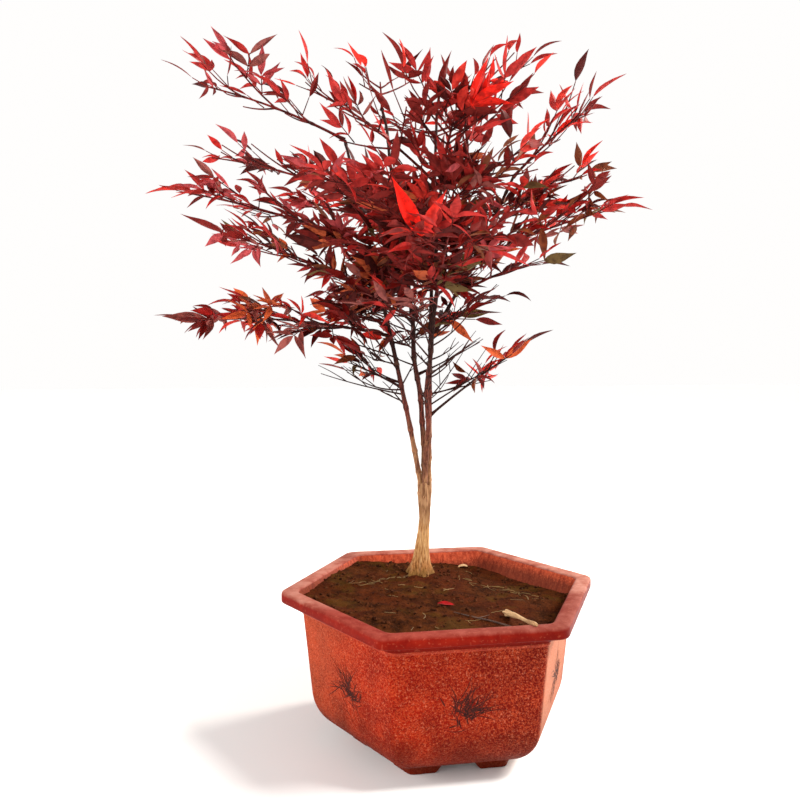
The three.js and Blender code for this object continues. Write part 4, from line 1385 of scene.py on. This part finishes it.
def leaflet_points(root, axis, normal, length, width, droop, fold, twist):
    """One leaflet's points: bent down along its length, folded along its midrib and twisted."""
    along, across, below = PATTERN.T
    bend = droop * along
    run = length * (along if abs(droop) < 1e-3 else np.sin(bend) / droop)
    fall = length * (0 * along if abs(droop) < 1e-3 else (1 - np.cos(bend)) / droop)
    side = np.cross(normal, axis)
    facing = np.outer(np.cos(bend), normal) + np.outer(np.sin(bend), axis)
    lean = twist * along
    beside = np.outer(np.cos(lean), side) + facing * np.sin(lean)[:, None]
    above = facing * np.cos(lean)[:, None] - np.outer(np.sin(lean), side)
    half = across * PATTERN_WIDTHS * width / 2
    rise = np.abs(half) * math.sin(fold) - below * LEAFLET_THICKNESS * (1 - across**2)
    middle = root + np.outer(run, axis) - np.outer(fall, normal)
    return middle + beside * (half * math.cos(fold))[:, None] + above * rise[:, None]


def tint_of(spot, draw):
    """The autumn tint of one spray, by where it hangs in the crown, with painted shade in darker tints
    inside and painted light in brighter reds at the top.
    """
    off = spot - from_trunk(0, 0, CROWN_MIDDLE)
    outer = smooth(np.linalg.norm(off * (1, 1, 0.8)) / 250)
    left, right = smooth(-off[0] / 220), smooth(off[0] / 200)
    low, high = smooth((590 - spot[2]) / 130), smooth((spot[2] - 600) / 120)
    vivid = max(smooth(1.6 - np.linalg.norm(spot - red) / FULL_RED_REACH) for red in FULL_RED)
    chances = {
        # Painted shade: dark maroon is dealt out mostly inside the crown.
        "maroon": (1.15 * (1 - outer) + 0.3) * (1 - 0.4 * high) + 1.8 * low * (1 - outer),
        "wine": 1.3 - 0.6 * low * max(left, right),
        # Painted light: crimson and scarlet grow commoner at the top of the crown.
        "crimson": 0.9 + (0.8 * outer + 0.5 * high) * (1 - 0.5 * left)
        - 0.7 * low - 0.5 * right * (1 - high),
        "scarlet": 0.34 + 0.5 * high * (1 - 0.8 * left) - 0.2 * left + 2 * vivid,
        "flame": 0.02 * high + 20 * vivid,
        "rose": 0.1 + 1.3 * outer * left * (1 - low),
        "plum": 0.1 + 2.6 * low * left + 0.5 * high * left,
        "rust": 0.1 * (1 - high) + 0.35 * low * (1 + left + 2 * right),
        "bronze": (0.12 + 1.4 * right) * (1 - high) + 0.7 * low,
        "olive": (0.03 + 0.6 * right * (1 - 0.6 * outer)) * (1 - high) + 0.25 * low * (1 + right),
    }
    weights = np.array([chances[tint] for tint in TINTS])
    return list(TINTS)[draw.choice(len(TINTS), p=weights / weights.sum())]


blades = {tint: [] for tint in TINTS}
for number, spray in enumerate(sprays):
    draw = np.random.default_rng(LEAFLET_SEEDS + number)
    root, axis, normal = spray["root"], spray["axis"], spray["normal"]
    tint = tint_of(root + axis * TINTED_AT, draw)
    full = draw.uniform() < spray["full"] or tint == "flame"
    if not full and draw.uniform() < TWIGS_MISSING + 0.3 * max(0, -spray["full"]):
        continue
    twig = spray["length"] * TWIG_SHARE * draw.uniform(*TWIG_LENGTHS)
    end = root + axis * twig
    path = [root - axis * 0.5, root + axis * twig * 0.5, end]
    stalk_parts.append(tube(path, TWIG_RADII, TWIG_COLUMNS))
    for turn, start in LEAFLET_PLACES if full else LEAFLET_PLACES[:1]:
        if turn and draw.uniform() < LEAFLETS_MISSING:
            continue
        if not turn and np.linalg.norm(end - LOST_LEAFLET) < LOST_REACH:
            continue
        angle = turn * draw.uniform(*LEAFLET_SPREAD) + draw.normal(0, 5)
        pointing = turned(axis, normal, angle)
        pitched = unit(np.cross(normal, pointing))
        pointing = turned(pointing, pitched, draw.normal(*LEAFLET_PITCH))
        facing = unit(normal - pointing * (normal @ pointing))
        facing = turned(facing, pointing, draw.normal(*LEAFLET_ROLL))
        size = draw.uniform(*LEAFLET_SIZES) * (SIDE_LEAFLET if turn else spray.get("end_leaflet", 1))
        size = size * (FULL_RED_SIZE if tint == "flame" else 1)
        length = LEAFLET_LENGTH * spray["length"] / SPRAY_LENGTH * size
        width = length * LEAFLET_SLIMNESS * draw.uniform(*LEAFLET_WIDTHS)
        droop = draw.normal(*LEAFLET_DROOP)
        fold = abs(draw.normal(*LEAFLET_FOLD))
        twist = draw.normal(*LEAFLET_TWIST)
        shown = tint if draw.uniform() < OWN_TINT_SHARE else tint_of(root, draw)
        seat = root + axis * twig * start
        blade = leaflet_points(seat, pointing, facing, length, width, droop, fold, twist)
        blades[shown].append(blade)

front = heading(SINGLE_FACING)
spray_roots = np.array([spray["root"] for spray in sprays])
for tint, near, lean, length, twist in SINGLE_LEAFLETS:
    seat = spray_roots[np.linalg.norm(spray_roots - near, axis=1).argmin()]
    pointing = turned(UP, front, lean)
    width = LEAFLET_SLIMNESS * length
    blade = leaflet_points(seat, pointing, front, length, width, SINGLE_DROOP, SINGLE_FOLD, twist)
    blades[tint].append(blade)


def waxy_blade(name, tint, under):
    material, place = new_finish(name)
    cloudy = place.noise(150, 2.0)
    veins = place.noise(900, 2.0, 0.6)
    red, green, blue = tint
    if under:
        red, green, blue = red * 0.88 + 14, green * 0.86 + 14, blue * 0.86 + 14
    deep = paint(red * 0.76, green * 0.7, blue * 0.74)
    colour = cloudy.span(0.3, 0.62).mix(deep, paint(red, green, blue))
    rough = (0.62 if under else 0.46) + (veins - 0.5) * 0.25
    bump = (veins + cloudy).relief(0.3, 0.0003)
    return dress(material, Base_Color=colour, Roughness=rough, Specular_IOR_Level=0.08, Normal=bump)


def blade_finishes(name, upper, under):
    return [waxy_blade(f"{name}_upper", upper, False), waxy_blade(f"{name}_under", under, True)]


for tint, made in blades.items():
    points, faces = joined([(blade, PATTERN_FACES) for blade in made])
    finishes = blade_finishes(tint, TINTS[tint], TINTS[tint])
    sides = PATTERN_SIDES * len(made)
    piece(f"leaflets_{tint}", points, faces, finishes, "foliage", masses, sides, LEAF_SHARP_ANGLE)


def wiry_stalk():
    material, place = new_finish("wiry_stalk")
    mottles = place.noise(90, 3.0)
    ribs = place.noise(700, 2.0)
    colour = mottles.span(0.35, 0.65).mix(paint(52, 12, 11), paint(112, 30, 26))
    withered = 1 - (place.axis("Z") + (mottles - 0.5) * 0.08).span(0.43, 0.53)
    colour = withered.mix(colour, paint(44, 18, 14))
    rough = 0.6 + (ribs - 0.5) * 0.2
    bump = ribs.relief(0.3, 0.0004)
    return dress(material, Base_Color=colour, Roughness=rough, Specular_IOR_Level=0.08, Normal=bump)


piece("leaf_stalks", *joined(stalk_parts), [wiry_stalk()], "foliage", masses, sharp_angle=LEAF_SHARP_ANGLE)

# Fallen leaf: one red leaflet that has dropped and lies face up on the soil before the trunk.
# It is shorter than most, broad for its length, and has curled a little as it dried.
FALLEN_LENGTH = 22
FALLEN_WIDTH = 8
fallen_seat = np.array([-8.0, -18.0, soil_top(0, -20) + 1.6])
fallen_pointing = unit(np.array([0.96, -0.22, 0.03]))
fallen_facing = unit(np.array([0.05, -0.2, 1.0]))
fallen_shape = (FALLEN_LENGTH, FALLEN_WIDTH, 0.25, 0.3, 0.2)
fallen = leaflet_points(fallen_seat, fallen_pointing, fallen_facing, *fallen_shape)
fallen_finish = blade_finishes("fallen", (150, 22, 24), (130, 34, 34))
piece("fallen_leaflet", fallen, PATTERN_FACES, fallen_finish, "foliage", (), PATTERN_SIDES, LEAF_SHARP_ANGLE)

# Stage: a pale floor in a white room, under soft studio light, seen from the photograph's standpoint.
# One broad lamp stands high on the right, a warm one behind on the right and a broader one on the left.
# The standpoint was worked out from the corners of the pot's rim. Its picture is square.
FLOOR_HALF = 9
PICTURE_PIXELS = 800
FOCAL_PIXELS = 760
SENSOR_WIDTH = 36
STANDPOINT = (-182.7, -834.5, 433.5)
GAZE_RIGHT = 9.23
GAZE_DOWN = 3.47

floor_mesh = bpy.data.meshes.new("pale_floor")
floor_corners = [(x * FLOOR_HALF, y * FLOOR_HALF, 0) for x, y in ((-1, -1), (1, -1), (1, 1), (-1, 1))]
floor_mesh.from_pydata(floor_corners, [], [[0, 1, 2, 3]])
floor = new_object("pale_floor", floor_mesh)
floor_material, floor_place = new_finish("pale_floor")
shade = floor_place.noise(3, 2.0).mix(paint(246, 245, 244), paint(251, 251, 250))
measure = {"operation": "LENGTH"}
away = floor_place.node("ShaderNodeVectorMath", measure, {"Vector": floor_place}, "Value")
glow = away.span(0.9, 3.5).mix(paint(60, 60, 60), paint(255, 254, 252))
dress(floor_material, Base_Color=shade, Roughness=0.9, Specular_IOR_Level=0.1)
dress(floor_material, Emission_Color=glow, Emission_Strength=0.5)
floor_mesh.materials.append(floor_material)


def turn_towards(direction):
    """The turn of a lamp or camera that looks along a direction."""
    return direction.to_track_quat("-Z", "Y").to_euler()


def soft_lamp(name, place, target, size, power, colour):
    lamp = bpy.data.lights.new(name, "AREA")
    lamp.shape = "DISK"
    lamp.size = size
    lamp.energy = power
    lamp.color = colour
    made = new_object(name, lamp)
    made.location = place
    made.rotation_euler = turn_towards(Vector(target) - Vector(place))


soft_lamp("key", (1.5, -0.9, 2.2), (0, 0, 0.45), 0.7, 74, (1.0, 0.97, 0.93))
soft_lamp("right_back", (1.9, 0.8, 1.1), (0.05, 0, 0.3), 0.5, 54, (1.0, 0.94, 0.86))
soft_lamp("left_fill", (-2.0, -0.9, 1.0), (0, 0, 0.35), 1.3, 40, (1.0, 0.97, 0.94))
world = bpy.data.worlds.new("white_room")
world.use_nodes = True
upward = Signal(world.node_tree).node("ShaderNodeTexCoord", {}, {}, "Generated").axis("Z")
dress(world, Color=(1.0, 0.99, 0.98, 1.0), Strength=1.0 - upward.span(0.42, 0.66) * 0.66)
bpy.context.scene.world = world
bpy.context.scene.view_settings.view_transform = "Standard"

camera_data = bpy.data.cameras.new("standpoint")
camera_data.sensor_width = SENSOR_WIDTH
camera_data.lens = SENSOR_WIDTH * FOCAL_PIXELS / PICTURE_PIXELS
camera = new_object("standpoint", camera_data)
camera.location = np.array(STANDPOINT) * MILLIMETRE + POT_AXIS
pitch = math.radians(GAZE_DOWN)
gaze = Vector(heading(90 - GAZE_RIGHT) * math.cos(pitch)) - Vector((0, 0, math.sin(pitch)))
camera.rotation_euler = turn_towards(gaze)
bpy.context.scene.camera = camera
